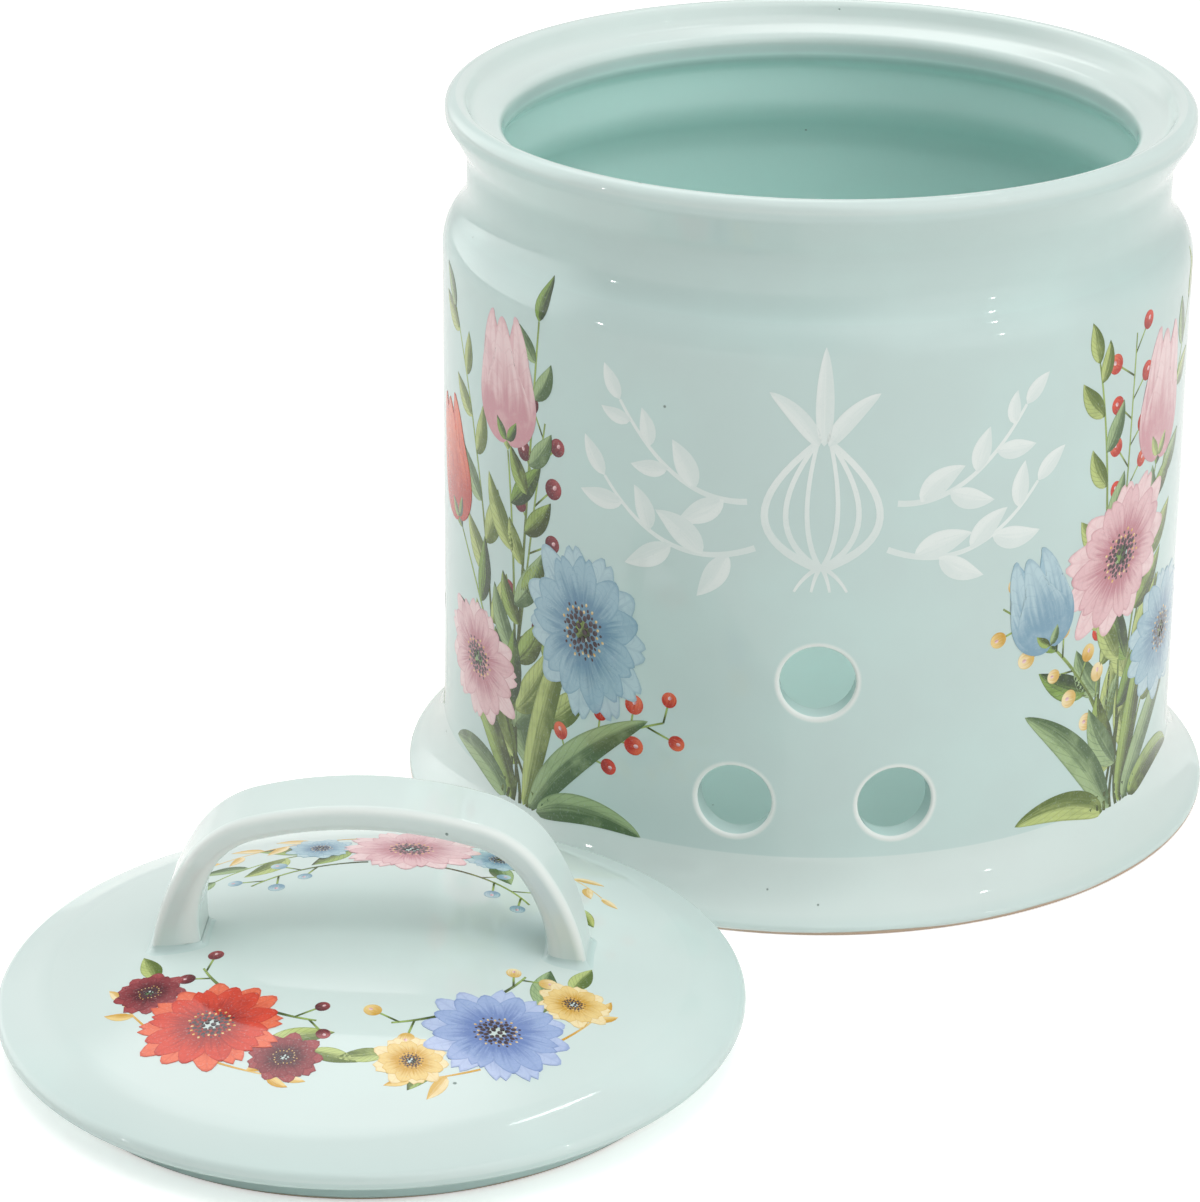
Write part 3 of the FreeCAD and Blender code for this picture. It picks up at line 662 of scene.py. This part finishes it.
def lay(art, place, layer, rows, inks, tone, veins):
    """Adds a closed skin over rows of points on the ware, with its ink and its grain."""
    first, second = (linear(colour) for colour in chance.choice(inks))
    seed = chance.random()
    start, tall, wide = len(art["corners"]), len(rows), len(rows[0])
    for depth in (INK_LIFT + INK_LAYER * layer, -INK_ROOT):
        for i, row in enumerate(rows):
            for j, (across, up) in enumerate(row):
                along, aside = i / (tall - 1), 2 * j / (wide - 1) - 1
                art["corners"].append(place(across, up, depth))
                art["grain"].append((along, aside, seed, veins))
                art["tone"].append(along if tone == "along" else (aside + 1) / 2)
                art["first"].append(first)
                art["second"].append(second)

    def corner(side, i, j):
        return start + (side * tall + i) * wide + j

    for i in range(tall - 1):
        for j in range(wide - 1):
            for side in (0, 1):
                art["faces"].append((corner(side, i, j), corner(side, i, j + 1),
                                     corner(side, i + 1, j + 1), corner(side, i + 1, j)))
                art["smooth"].append(side == 0)
    border = [(0, j) for j in range(wide)] + [(i, wide - 1) for i in range(1, tall)]
    border += [(tall - 1, j) for j in range(wide - 2, -1, -1)] + [(i, 0) for i in range(tall - 2, 0, -1)]
    for (i, j), (k, m) in zip(border, border[1:] + border[:1]):
        art["faces"].append((corner(0, i, j), corner(1, i, j), corner(1, k, m), corner(0, k, m)))
        art["smooth"].append(False)


def leaf_width(share):
    return math.sin(math.pi * share ** 0.8) ** 0.9 if 0 < share < 1 else 0


def lance_width(share):
    return 2.1 * share ** 0.5 * (1 - share) ** 0.75


def petal_width(share):
    return 0.2 + 0.8 * math.sin(math.pi / 2 * min(1, share / 0.8))


def round_width(share):
    return math.sqrt(max(0, 1 - (2 * share - 1) ** 2))


def pointed(aside):
    return 1


def rounded_tip(aside):
    return 1 - 0.32 * aside ** 2


def notched_tip(aside):
    return 1 - 0.3 * aside ** 2 - 0.12 * max(0, 1 - 3 * abs(aside))


def blade(art, place, layer, base, heading, length, width, inks, profile=leaf_width, tip=pointed,
          bend=0.0, tone="aside", veins=0.0, squash=None):
    """A leaf or petal from its base, that turns by bend on its way. squash is (centre, angle,
    share): it narrows the whole flower along one direction, as if it leaned away."""
    small = profile is round_width
    tall = max(10 if small else 5, math.ceil(length / INK_CELL))
    wide = max(7 if small else 3, 2 * math.ceil(width / INK_CELL / 2) + 1)
    rows = []
    for i in range(tall + 1):
        row = []
        for j in range(wide):
            aside = 2 * j / (wide - 1) - 1
            step = (1 - math.cos(math.pi * i / tall)) / 2 if small else i / tall
            share = step * tip(aside)
            turn = bend * share
            ahead = length * (math.sin(turn) / bend if bend else share)
            drift = length * ((1 - math.cos(turn)) / bend if bend else 0)
            out = width / 2 * profile(step) * aside
            ahead, drift = ahead - out * math.sin(turn), drift + out * math.cos(turn)
            point = Vector((base[0] + ahead * math.cos(heading) - drift * math.sin(heading),
                            base[1] + ahead * math.sin(heading) + drift * math.cos(heading)))
            if squash:
                centre, angle, narrow = squash
                lean = Vector((math.cos(angle), math.sin(angle)))
                point += lean * (point - Vector(centre)).dot(lean) * (narrow - 1)
            row.append(point)
        rows.append(row)
    lay(art, place, layer, rows, inks, tone, veins)


def stroke(art, place, layer, points, widths, inks):
    """A brush stroke along points, whose width goes from one value to another."""
    rows = []
    for i, point in enumerate(points):
        before, after = points[max(i - 1, 0)], points[min(i + 1, len(points) - 1)]
        ahead = (Vector(after) - Vector(before)).normalized()
        width = widths[0] + (widths[1] - widths[0]) * i / (len(points) - 1)
        side = Vector((-ahead.y, ahead.x)) * width / 2
        rows.append([Vector(point) - side, Vector(point) + side])
    lay(art, place, layer, rows, inks, "along", 0.0)


def curve(start, pull, end):
    """Points of a smooth curve from start to end, drawn towards a third point."""
    start, pull, end = Vector(start), Vector(pull), Vector(end)
    count = max(6, math.ceil((end - start).length / 2))
    shares = [i / count for i in range(count + 1)]
    return [start * (1 - t) ** 2 + pull * 2 * t * (1 - t) + end * t ** 2 for t in shares]


def sprig(art, place, layer, points, leaf, inks, stem_inks, spacing, start=4.0, spread=0.85,
          stem=1.1, profile=leaf_width, veins=1.0, shrink=0.4):
    """A stem along points, with leaves (length, width) in turn on either side and one at its tip."""
    stroke(art, place, layer, points, (stem, stem * 0.5), stem_inks)
    total = sum((b - a).length for a, b in zip(points, points[1:]))
    walked, due, side = 0.0, start, 1
    for a, b in zip(points, points[1:]):
        walked += (b - a).length
        ahead = math.atan2(b.y - a.y, b.x - a.x)
        if walked >= due and walked < total - leaf[1] * 0.6:
            size = (1 - shrink * walked / total) * chance.uniform(0.85, 1.1)
            layer += 1
            heading = ahead + side * spread * chance.uniform(0.8, 1.15)
            bend = -side * chance.uniform(0.2, 0.7)
            blade(art, place, layer, b, heading, leaf[0] * size, leaf[1] * size, inks, profile,
                  bend=bend, veins=veins)
            due += spacing
            side = -side
    blade(art, place, layer + 1, points[-1], ahead, leaf[0] * (1 - shrink), leaf[1] * (1 - shrink), inks,
          profile, bend=chance.uniform(-0.3, 0.3), veins=veins)


# Shares of a daisy's radius, how many dots its eye has, the turn from one dot to the next, and how
# much wider its petals are than the room for each.
PETAL_ROOT = 0.12
EYE_SHARE = 0.2
EYE_DOTS = 70
DOT_SHARE = 0.13
DOT_TURN = 2.4
PETAL_OVERLAP = 1.15


def daisy(art, place, layer, centre, radius, inks, petals=11, lean=0.8, lean_angle=1.2):
    """An open flower of two rings of petals round a dotted eye, leaning away a little."""
    squash = (centre, lean_angle, lean)
    for ring, (reach, breadth) in enumerate(((1.0, 0.62), (0.86, 0.58))):
        for k in range(petals):
            heading = 2 * math.pi * (k + ring / 2) / petals + chance.uniform(-0.08, 0.08)
            root = PETAL_ROOT * radius
            base = (centre[0] + root * math.cos(heading), centre[1] + root * math.sin(heading))
            length = (reach - PETAL_ROOT) * radius * chance.uniform(0.92, 1.04)
            width = breadth * 2 * math.pi * radius / petals * PETAL_OVERLAP
            tip = chance.choice((rounded_tip, notched_tip))
            bend = chance.uniform(-0.15, 0.15)
            layer += 0.6
            blade(art, place, layer, base, heading, length, width, inks[1 - ring:2 - ring] or inks,
                  petal_width, tip, bend, "along", 0.35, squash)
    eye_radius = EYE_SHARE * radius
    for k in range(EYE_DOTS):
        out, turn = eye_radius * 1.5 * math.sqrt(k / EYE_DOTS), DOT_TURN * k
        spot = (centre[0] + out * math.cos(turn), centre[1] + out * math.sin(turn))
        inner = out < eye_radius
        dot = DOT_SHARE * radius * (0.55 if inner else 0.3)
        blade(art, place, layer + 1 + (k % 3) * 0.5, spot, turn, dot, dot * 0.8,
              DARK_EYE if inner or k % 2 else GOLDS, round_width, tone="along", squash=squash)


def tulip(art, place, layer, base, height, heading, inks):
    """A half-open cup seen from the side: two petals behind, two beside and one in front."""
    dark, light = inks[:1], inks[-1:]
    for turn, length, breadth, bend, colours in (
        (0.22, 0.94, 0.42, -0.1, dark), (-0.22, 0.94, 0.42, 0.1, dark), (0.62, 0.98, 0.42, -0.95, light),
        (-0.62, 0.98, 0.42, 0.95, light), (0.0, 0.9, 0.6, 0.05, light),
    ):
        layer += 1
        blade(art, place, layer, base, heading + turn, height * length, height * breadth, colours,
              lambda share: 0.25 + 0.75 * math.sin(math.pi * min(share, 0.9) ** 0.75), rounded_tip,
              bend, "along", 0.35)
    for side in (-1, 1):
        blade(art, place, layer + 1, base, heading + side * 0.9, height * 0.2, height * 0.09, GREENS,
              bend=-side * 0.5)


def berries(art, place, layer, points, size, inks, spacing):
    """A thin twig with round berries on short stalks, each with a pale spot."""
    stroke(art, place, layer, points, (0.8, 0.5), GREENS[:1])
    total = sum((b - a).length for a, b in zip(points, points[1:]))
    walked, due, side = 0.0, 0.35 * total, 1
    for a, b in zip(points, points[1:]):
        walked += (b - a).length
        if walked < due:
            continue
        ahead = math.atan2(b.y - a.y, b.x - a.x) + side * chance.uniform(0.6, 1.1)
        stalk = size * chance.uniform(0.9, 1.4)
        end = b + Vector((math.cos(ahead), math.sin(ahead))) * stalk
        stroke(art, place, layer, [b, (b + end) / 2, end], (0.5, 0.5), GREENS[:1])
        wide = size * chance.uniform(0.85, 1.1)
        blade(art, place, layer + 1 + side, end, ahead, wide, wide * 0.95, inks, round_width,
              tone="along")
        spot = end + Vector((math.cos(ahead), math.sin(ahead))) * wide * 0.5
        blade(art, place, layer + 4, spot, ahead, wide * 0.25, wide * 0.2, PINKS[1:], round_width)
        due += spacing
        side = -side


# Turn, length and breadth of the long leaves at the foot of a bunch.
BLADES_AT_FOOT = ((0.55, 48, 9), (-0.5, 44, 9), (0.2, 56, 8), (-0.95, 30, 8), (1.0, 32, 8))


def bunch(art, place, root, heads):
    """Stems from one root, each with its leaves, and then the heads of the flowers on them."""
    for k, (kind, across, up, size, inks) in enumerate(heads):
        pull = (root + 0.35 * (across - root), FOOT_LEVEL + 0.7 * (up - FOOT_LEVEL))
        points = curve((root + 2.5 * (k - len(heads) / 2), FOOT_LEVEL), pull, (across, up))
        layer = 2 * (k % 5)
        if kind == "sprig":
            leaf = (size, size * 0.42)
            sprig(art, place, layer, points, leaf, inks, GREENS[:1], size * 0.5, size * 0.6)
        elif kind == "berries":
            berries(art, place, layer, points, size, inks, size * 1.15)
        else:
            sprig(art, place, layer, points[:-2], (24, 8.5), GREENS, GREENS[:1], 13, 10, shrink=0.3)
    for turn, length, breadth in BLADES_AT_FOOT:
        blade(art, place, 10 + 3 * abs(turn), (root + 6 * turn, FOOT_LEVEL), math.pi / 2 - turn, length,
              breadth, GREENS, lance_width, bend=-turn, veins=0.6)
    for k, (kind, across, up, size, inks) in enumerate(heads):
        if kind == "daisy":
            daisy(art, place, 14 + (k % 2) * 14, (across, up), size, inks, lean_angle=k * 1.3)
        elif kind == "tulip":
            heading = math.atan2(up - FOOT_LEVEL, across - root) * 0.6 + math.pi / 2 * 0.4
            tulip(art, place, 14 + (k % 3) * 6, (across, up), size, heading, inks)


art = {key: [] for key in ("corners", "faces", "smooth", "grain", "tone", "first", "second")}
bunch(art, on_wall, -78, [
    ("sprig", -112, 128, 20, GREENS[2:]), ("berries", -70, 112, 5.2, BURGUNDIES),
    ("sprig", -72, 136, 17, GREENS),
    ("tulip", -84, 104, 33, PINKS), ("tulip", -110, 76, 32, REDS), ("daisy", -58, 64, 23, BLUES),
    ("daisy", -98, 44, 20, PINKS), ("berries", -36, 46, 4.6, REDS),
])
bunch(art, on_wall, 84, [
    ("sprig", 70, 128, 18, GREENS[1:]), ("berries", 84, 132, 4.8, REDS),
    ("sprig", 120, 130, 20, GREENS[2:]),
    ("tulip", 98, 98, 34, PINKS), ("daisy", 82, 78, 23, PINKS), ("tulip", 58, 62, 27, BLUES),
    ("daisy", 108, 50, 22, BLUES), ("berries", 44, 74, 4.4, GOLDS),
])
bunch(art, on_wall, 178, [
    ("sprig", 160, 96, 18, GREENS), ("tulip", 186, 66, 30, REDS), ("daisy", 162, 52, 20, PINKS),
    ("berries", 204, 82, 4.8, BURGUNDIES), ("sprig", 214, 56, 16, GREENS[2:]),
])
bunch(art, on_wall, 262, [
    ("sprig", 278, 92, 18, GREENS), ("tulip", 250, 62, 30, PINKS), ("daisy", 276, 48, 20, BLUES),
    ("berries", 238, 78, 4.8, GOLDS), ("sprig", 300, 60, 16, GREENS[1:]),
])
bunch(art, on_wall, -172, [
    ("sprig", -190, 90, 18, GREENS), ("tulip", -178, 64, 29, BLUES), ("daisy", -156, 50, 20, REDS),
    ("berries", -150, 82, 4.8, BURGUNDIES), ("sprig", -212, 58, 16, GREENS[2:]),
])

# How far the streaks are drawn out along and across a petal, and apart from one to the next.
STREAKS = (1.6, 5.0, 43.0)
WASH_SIZE = 7 * MM
SPECK_SIZE = 0.5 * MM
SIDE_VEINS = 8.0
VEIN_SLANT = 2.2
VEIN_SHARE = 0.5
RIM_SHARE = 0.4


def printed_decal(name):
    """Ceramic ink as a watercolour wash: it runs from one colour to another, pools along the
    edges, and lets the glaze show through where it is thin. The clear gloss over it is the
    glaze's own."""
    material, tree, output = new_material(name)
    place = add(tree, "ShaderNodeTexCoord").outputs["Object"]
    first, second, grain, tone = (add(tree, "ShaderNodeAttribute", {"attribute_name": key}).outputs
                                  for key in ("first", "second", "grain", "tone"))
    parts = add(tree, "ShaderNodeSeparateColor", links={"Color": grain["Color"]}).outputs
    along, aside, seed = parts[0], parts[1], parts[2]
    stretched = add(tree, "ShaderNodeVectorMath", {"operation": "MULTIPLY"}, {0: grain["Vector"]})
    stretched.inputs[1].default_value = STREAKS
    streak = add(tree, "ShaderNodeTexNoise", links={"Vector": stretched.outputs[0]},
                 Scale=1.0, Detail=3, Roughness=0.6).outputs["Fac"]
    wash = add(tree, "ShaderNodeTexNoise", links={"Vector": place},
               Scale=1 / WASH_SIZE, Detail=3, Roughness=0.6).outputs["Fac"]
    speck = add(tree, "ShaderNodeTexNoise", links={"Vector": place},
                Scale=1 / SPECK_SIZE, Detail=2, Roughness=0.6).outputs["Fac"]

    def sums(operation, one, other):
        node = add(tree, "ShaderNodeMath", {"operation": operation})
        for socket, value in zip(node.inputs, (one, other)):
            if isinstance(value, (int, float)):
                socket.default_value = value
            else:
                tree.links.new(value, socket)
        return node.outputs["Value"]

    mixed = sums("ADD", tone["Fac"], sums("MULTIPLY", sums("SUBTRACT", streak, 0.5), 0.9))
    colour = blend(tree, ramp(tree, mixed, 0.25, 0.8), first["Color"], second["Color"])
    colour = blend(tree, ramp(tree, wash, 0.48, 0.75, 0.0, 0.45), colour, second["Color"])
    colour = blend(tree, ramp(tree, wash, 0.5, 0.25, 0.0, 0.35), colour, first["Color"])
    outer = sums("ABSOLUTE", aside, 0)
    rim = sums("MAXIMUM", ramp(tree, outer, 0.84, 0.97), ramp(tree, along, 0.93, 0.99))
    colour = blend(tree, sums("MULTIPLY", rim, RIM_SHARE), colour, first["Color"])
    rise = sums("MULTIPLY", along, SIDE_VEINS)
    slant = sums("FRACT", sums("SUBTRACT", rise, sums("MULTIPLY", outer, VEIN_SLANT)), 0)
    side_vein = ramp(tree, sums("ABSOLUTE", sums("SUBTRACT", slant, 0.5), 0), 0.09, 0.03)
    vein = sums("MAXIMUM", side_vein, ramp(tree, outer, 0.1, 0.05))
    veined = sums("MULTIPLY", sums("MULTIPLY", vein, grain["Alpha"]), VEIN_SHARE)
    colour = blend(tree, veined, colour, first["Color"])
    colour = blend(tree, ramp(tree, speck, 0.55, 0.8, 0.0, 0.25), colour, linear(GLAZE))
    shader = add(tree, "ShaderNodeBsdfPrincipled", links={"Base Color": colour},
                 Roughness=GLAZE_ROUGHNESS, IOR=GLAZE_IOR)
    tree.links.new(shader.outputs["BSDF"], output.inputs["Surface"])
    return material


ink = printed_decal("fired watercolour decal under clear gloss")


def make_print(name, art, place=Matrix.Identity(4)):
    """One smooth object of all the skins of a decoration."""
    mesh = bpy.data.meshes.new(name)
    mesh.from_pydata([place @ (Vector(corner) * MM) for corner in art["corners"]], [], art["faces"])
    mesh.polygons.foreach_set("use_smooth", art["smooth"])
    for key in ("grain", "first", "second"):
        layer = mesh.attributes.new(key, "FLOAT_COLOR", "POINT")
        layer.data.foreach_set("color", [value for corner in art[key] for value in corner])
    mesh.attributes.new("tone", "FLOAT", "POINT").data.foreach_set("value", art["tone"])
    shape = bmesh.new()
    shape.from_mesh(mesh)
    bmesh.ops.remove_doubles(shape, verts=shape.verts, dist=MM / 1000)
    bmesh.ops.recalc_face_normals(shape, faces=shape.faces)
    for edge in shape.edges:
        edge.smooth = all(face.smooth for face in edge.link_faces)
    shape.to_mesh(mesh)
    shape.free()
    piece = bpy.data.objects.new(name, mesh)
    bpy.context.scene.collection.objects.link(piece)
    piece.data.materials.append(ink)
    return piece


wall_print = make_print("printed_flowers_on_canister", art)
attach(wall_print, "canister")

# The white emblem in front: the same print in thin white ink, a plain onion between two leafy
# sprigs.
WHITE = [("#dde8e5", "#e7efec")]
emblem = {key: [] for key in art}
for side in (-1, 1):
    for start, pull, end, leaf in (
        ((15, 92), (36, 83), (52, 104), (15, 6.2)),
        ((17, 103), (34, 101), (48, 123), (13, 5.6)),
    ):
        points = curve((side * start[0], start[1]), (side * pull[0], pull[1]), (side * end[0], end[1]))
        sprig(emblem, on_wall, 0, points, leaf, WHITE, WHITE, 7.0, 5.0, stem=1.5, veins=0.0, shrink=0.3)
    for swell, breadth in ((14.5, 2.0), (9.0, 1.5), (3.5, 1.3)):
        points = curve((0, 87.5), (side * swell * 1.75, 97), (side * 1.4, 118))
        stroke(emblem, on_wall, 8, points, (breadth, breadth * 0.7), WHITE)
    for root in (1.4, 4.0):
        points = curve((0, 88.3), (side * root, 86), (side * root * 1.5, 82))
        stroke(emblem, on_wall, 8, points, (1.2, 0.6), WHITE)
for turn, length in ((0.5, 17), (0.0, 23), (-0.5, 17)):
    blade(emblem, on_wall, 10, (turn * -2.0, 117), math.pi / 2 + turn, length, 4.6, WHITE, lance_width,
          bend=turn)
emblem_print = make_print("printed_white_emblem", emblem)
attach(emblem_print, "canister")

# The decoration on the lid: three garlands of the same print, that curve round the dome to the
# front left, to the front right and at the back, clear of the handle's ends.
lid_art = {key: [] for key in art}


def on_lid(across, deep, lift):
    """A place on the lid's upper face, in its own frame."""
    return across, deep, dome_height(math.hypot(across, deep)) + lift


def arc(radius, start, end):
    """Points round the lid from one bearing to another, in degrees from -Y towards +X."""
    count = max(6, math.ceil(abs(end - start) / 3))
    bearings = [math.radians(start + (end - start) * i / count) for i in range(count + 1)]
    return [Vector((radius * math.sin(bearing), -radius * math.cos(bearing))) for bearing in bearings]


# The rounds of the leaves, of the gold twigs, of the berries and of the small flowers, and then the
# middle and the half-width of each garland, in degrees, and its flowers.
LEAF_ROUND = 48
TWIG_ROUND = 57
BERRY_ROUND = 38
DAISY_ROUND = 51
for middle, spread, colours, other in (
    (-38, 29, REDS, BURGUNDIES), (40, 29, PERIWINKLES, GOLDS), (176, 58, PINKS, BLUES),
):
    for way in (-1, 1):
        points = arc(LEAF_ROUND, middle + way * 8, middle + way * spread)
        sprig(lid_art, on_lid, 0, points, (17, 7.0), GREENS, GREENS[:1], 8, 6.0, stem=0.9, shrink=0.35)
        points = arc(TWIG_ROUND, middle + way * 10, middle + way * (spread - 4))
        sprig(lid_art, on_lid, 6, points, (10, 3.8), GOLDS, GOLDS[:1], 6, 6.0, stem=0.6, veins=0.0)
        points = arc(BERRY_ROUND, middle + way * 12, middle + way * (spread - 2))
        berries(lid_art, on_lid, 10, points, 3.8, other, 4.8)
        spot = arc(DAISY_ROUND, middle + way * 24, middle + way * 25)[0]
        daisy(lid_art, on_lid, 14, spot, 8.5, other, 9, 0.95)
    spot = arc(LEAF_ROUND, middle, middle + 1)[0]
    daisy(lid_art, on_lid, 30, spot, 16.5, colours, 12, 0.95)
lid_print = make_print("printed_flowers_on_lid", lid_art, LID_PLACE)
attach(lid_print, "lid")

# The floor: a wide sheet of matt paper. It looks white to the camera and partly in the glaze, but
# it lights the pots as plain paper does, and keeps their shadows.
FLOOR_SIZE = 6.0
FLOOR_WHITE = "#f4f4f2"
# How much brighter the camera sees the floor than it is, and the share of that in mirrored light.
CAMERA_LIFT = 0.50
MIRRORED_LIFT = 0.3
mesh = bpy.data.meshes.new("paper_floor")
half = FLOOR_SIZE / 2
square = [(-half, -half, 0), (half, -half, 0), (half, half, 0), (-half, half, 0)]
mesh.from_pydata(square, [], [(0, 1, 2, 3)])
floor = bpy.data.objects.new("paper_floor", mesh)
bpy.context.scene.collection.objects.link(floor)
material, tree, output = new_material("matt white paper")
paper = add(tree, "ShaderNodeBsdfDiffuse", Color=linear(FLOOR_WHITE))
lift = add(tree, "ShaderNodeEmission", Strength=CAMERA_LIFT)
seen = add(tree, "ShaderNodeLightPath")
mirrored = add(tree, "ShaderNodeMath", {"operation": "MULTIPLY"}, {0: seen.outputs["Is Glossy Ray"]})
mirrored.inputs[1].default_value = MIRRORED_LIFT
direct = add(tree, "ShaderNodeMath", {"operation": "MAXIMUM"},
             {0: seen.outputs["Is Camera Ray"], 1: mirrored.outputs[0]}).outputs[0]
glow = add(tree, "ShaderNodeMixShader", links={"Fac": direct, 2: lift.outputs["Emission"]})
both = add(tree, "ShaderNodeAddShader", links={0: paper.outputs["BSDF"], 1: glow.outputs["Shader"]})
tree.links.new(both.outputs["Shader"], output.inputs["Surface"])
mesh.materials.append(material)

# The light: a white tent with soft windows in it, broad lights overhead and high in front, which
# fill the inside, and small bare lamps that leave the short glints of a glossy glaze.
TENT_COLOUR = "#fdfcfb"
TENT_BASE = 0.35
TENT_FOOT = 0.74
TENT_RISE = 0.5
# Bearing from -Y towards +X and elevation, in degrees, half-widths where the glow is full and
# where it ends, and its strength, below 0 where the tent is darker.
GLOWS = [
    (-165, 52, 11, 20, 1.7),
    (30, 62, 10, 26, 0.45),
    (52, 30, 16, 48, 0.8),
    (-115, 12, 14, 44, 1.5),
    (-35, 15, 22, 60, -0.56),
]
world = bpy.data.worlds.new("white tent")
bpy.context.scene.world = world
world.use_nodes = True
tent = world.node_tree
tent.nodes.clear()
direction = add(tent, "ShaderNodeTexCoord").outputs["Generated"]
up = add(tent, "ShaderNodeSeparateXYZ", links={"Vector": direction}).outputs["Z"]
brightness = ramp(tent, up, 0.0, TENT_RISE, TENT_FOOT, TENT_BASE)
for bearing, elevation, full, end, strength in GLOWS:
    bearing, elevation = math.radians(bearing), math.radians(elevation)
    level = math.cos(elevation)
    aim = (math.sin(bearing) * level, -math.cos(bearing) * level, math.sin(elevation))
    facing = add(tent, "ShaderNodeVectorMath", {"operation": "DOT_PRODUCT"}, {0: direction})
    facing.inputs[1].default_value = aim
    low, high = math.cos(math.radians(end)), math.cos(math.radians(full))
    glow = ramp(tent, facing.outputs["Value"], low, high, 0.0, strength)
    brightness = add(tent, "ShaderNodeMath", {"operation": "ADD"}, {0: brightness, 1: glow}).outputs[0]
walls = add(tent, "ShaderNodeBackground", links={"Strength": brightness}, Color=linear(TENT_COLOUR))
backdrop = add(tent, "ShaderNodeBackground", Color=linear("#ffffff"), Strength=1.0)
seen = add(tent, "ShaderNodeLightPath")
mixed = add(tent, "ShaderNodeMixShader", links={
    "Fac": seen.outputs["Is Camera Ray"],
    1: walls.outputs["Background"],
    2: backdrop.outputs["Background"],
})
add(tent, "ShaderNodeOutputWorld", links={"Surface": mixed.outputs["Shader"]})

# Bearing, elevation, distance, width and height in metres, radiance, and whether it is mirrored.
LAMPS = [
    ("overhead_light", 15, 84, 1.7, 1.2, 1.2, 2.5, False),
    ("front_light", -8, 62, 1.7, 0.9, 0.9, 2.9, False),
    ("back_strip", 147, 60, 1.4, 0.03, 0.36, 12, True),
    ("right_glint", 66, 41, 1.4, 0.035, 0.035, 60, True),
    ("right_low_glint", 58, 18, 1.4, 0.03, 0.03, 60, True),
    ("left_glint", -68, 12, 1.4, 0.04, 0.04, 80, True),
]
AIM = Vector((-0.05, -0.08, 0.1))
for name, bearing, elevation, distance, width, height, radiance, mirrored in LAMPS:
    bearing, elevation = math.radians(bearing), math.radians(elevation)
    level = math.cos(elevation)
    ahead = Vector((math.sin(bearing) * level, -math.cos(bearing) * level, math.sin(elevation)))
    light = bpy.data.lights.new(name, "AREA")
    light.shape = "ELLIPSE"
    light.size, light.size_y = width, height
    light.energy = radiance * math.pi * math.pi * width * height / 4
    lamp = bpy.data.objects.new(name, light)
    lamp.location = AIM + ahead * distance
    lamp.rotation_euler = (-ahead).to_track_quat("-Z", "Y").to_euler()
    lamp.visible_glossy = mirrored
    bpy.context.scene.collection.objects.link(lamp)

# The camera, recovered from the outlines of the round parts in the photograph. It stands about a
# metre away, looks down by about 23 degrees, and has a lens of about 120 mm.
CAMERA_PLACE = (-0.0304, -0.9403, 0.4376)
CAMERA_HEADING = math.radians(1.29)
CAMERA_PITCH = math.radians(90 - 22.85)
CAMERA_ROLL = math.radians(0.249)
SENSOR = 36.0
FOCAL_PIXELS = 4094
PHOTO_HEIGHT = 1202
camera_data = bpy.data.cameras.new("camera")
camera_data.sensor_fit = "AUTO"
camera_data.sensor_width = SENSOR
camera_data.lens = FOCAL_PIXELS / PHOTO_HEIGHT * SENSOR
camera_data.clip_start = 0.05
camera_data.clip_end = 20
camera = bpy.data.objects.new("camera", camera_data)
turn = Matrix.Rotation(CAMERA_HEADING, 4, "Z")
turn = turn @ Matrix.Rotation(CAMERA_PITCH, 4, "X") @ Matrix.Rotation(CAMERA_ROLL, 4, "Z")
camera.matrix_world = Matrix.Translation(CAMERA_PLACE) @ turn
bpy.context.scene.collection.objects.link(camera)
bpy.context.scene.camera = camera
bpy.context.scene.view_settings.view_transform = "Standard"
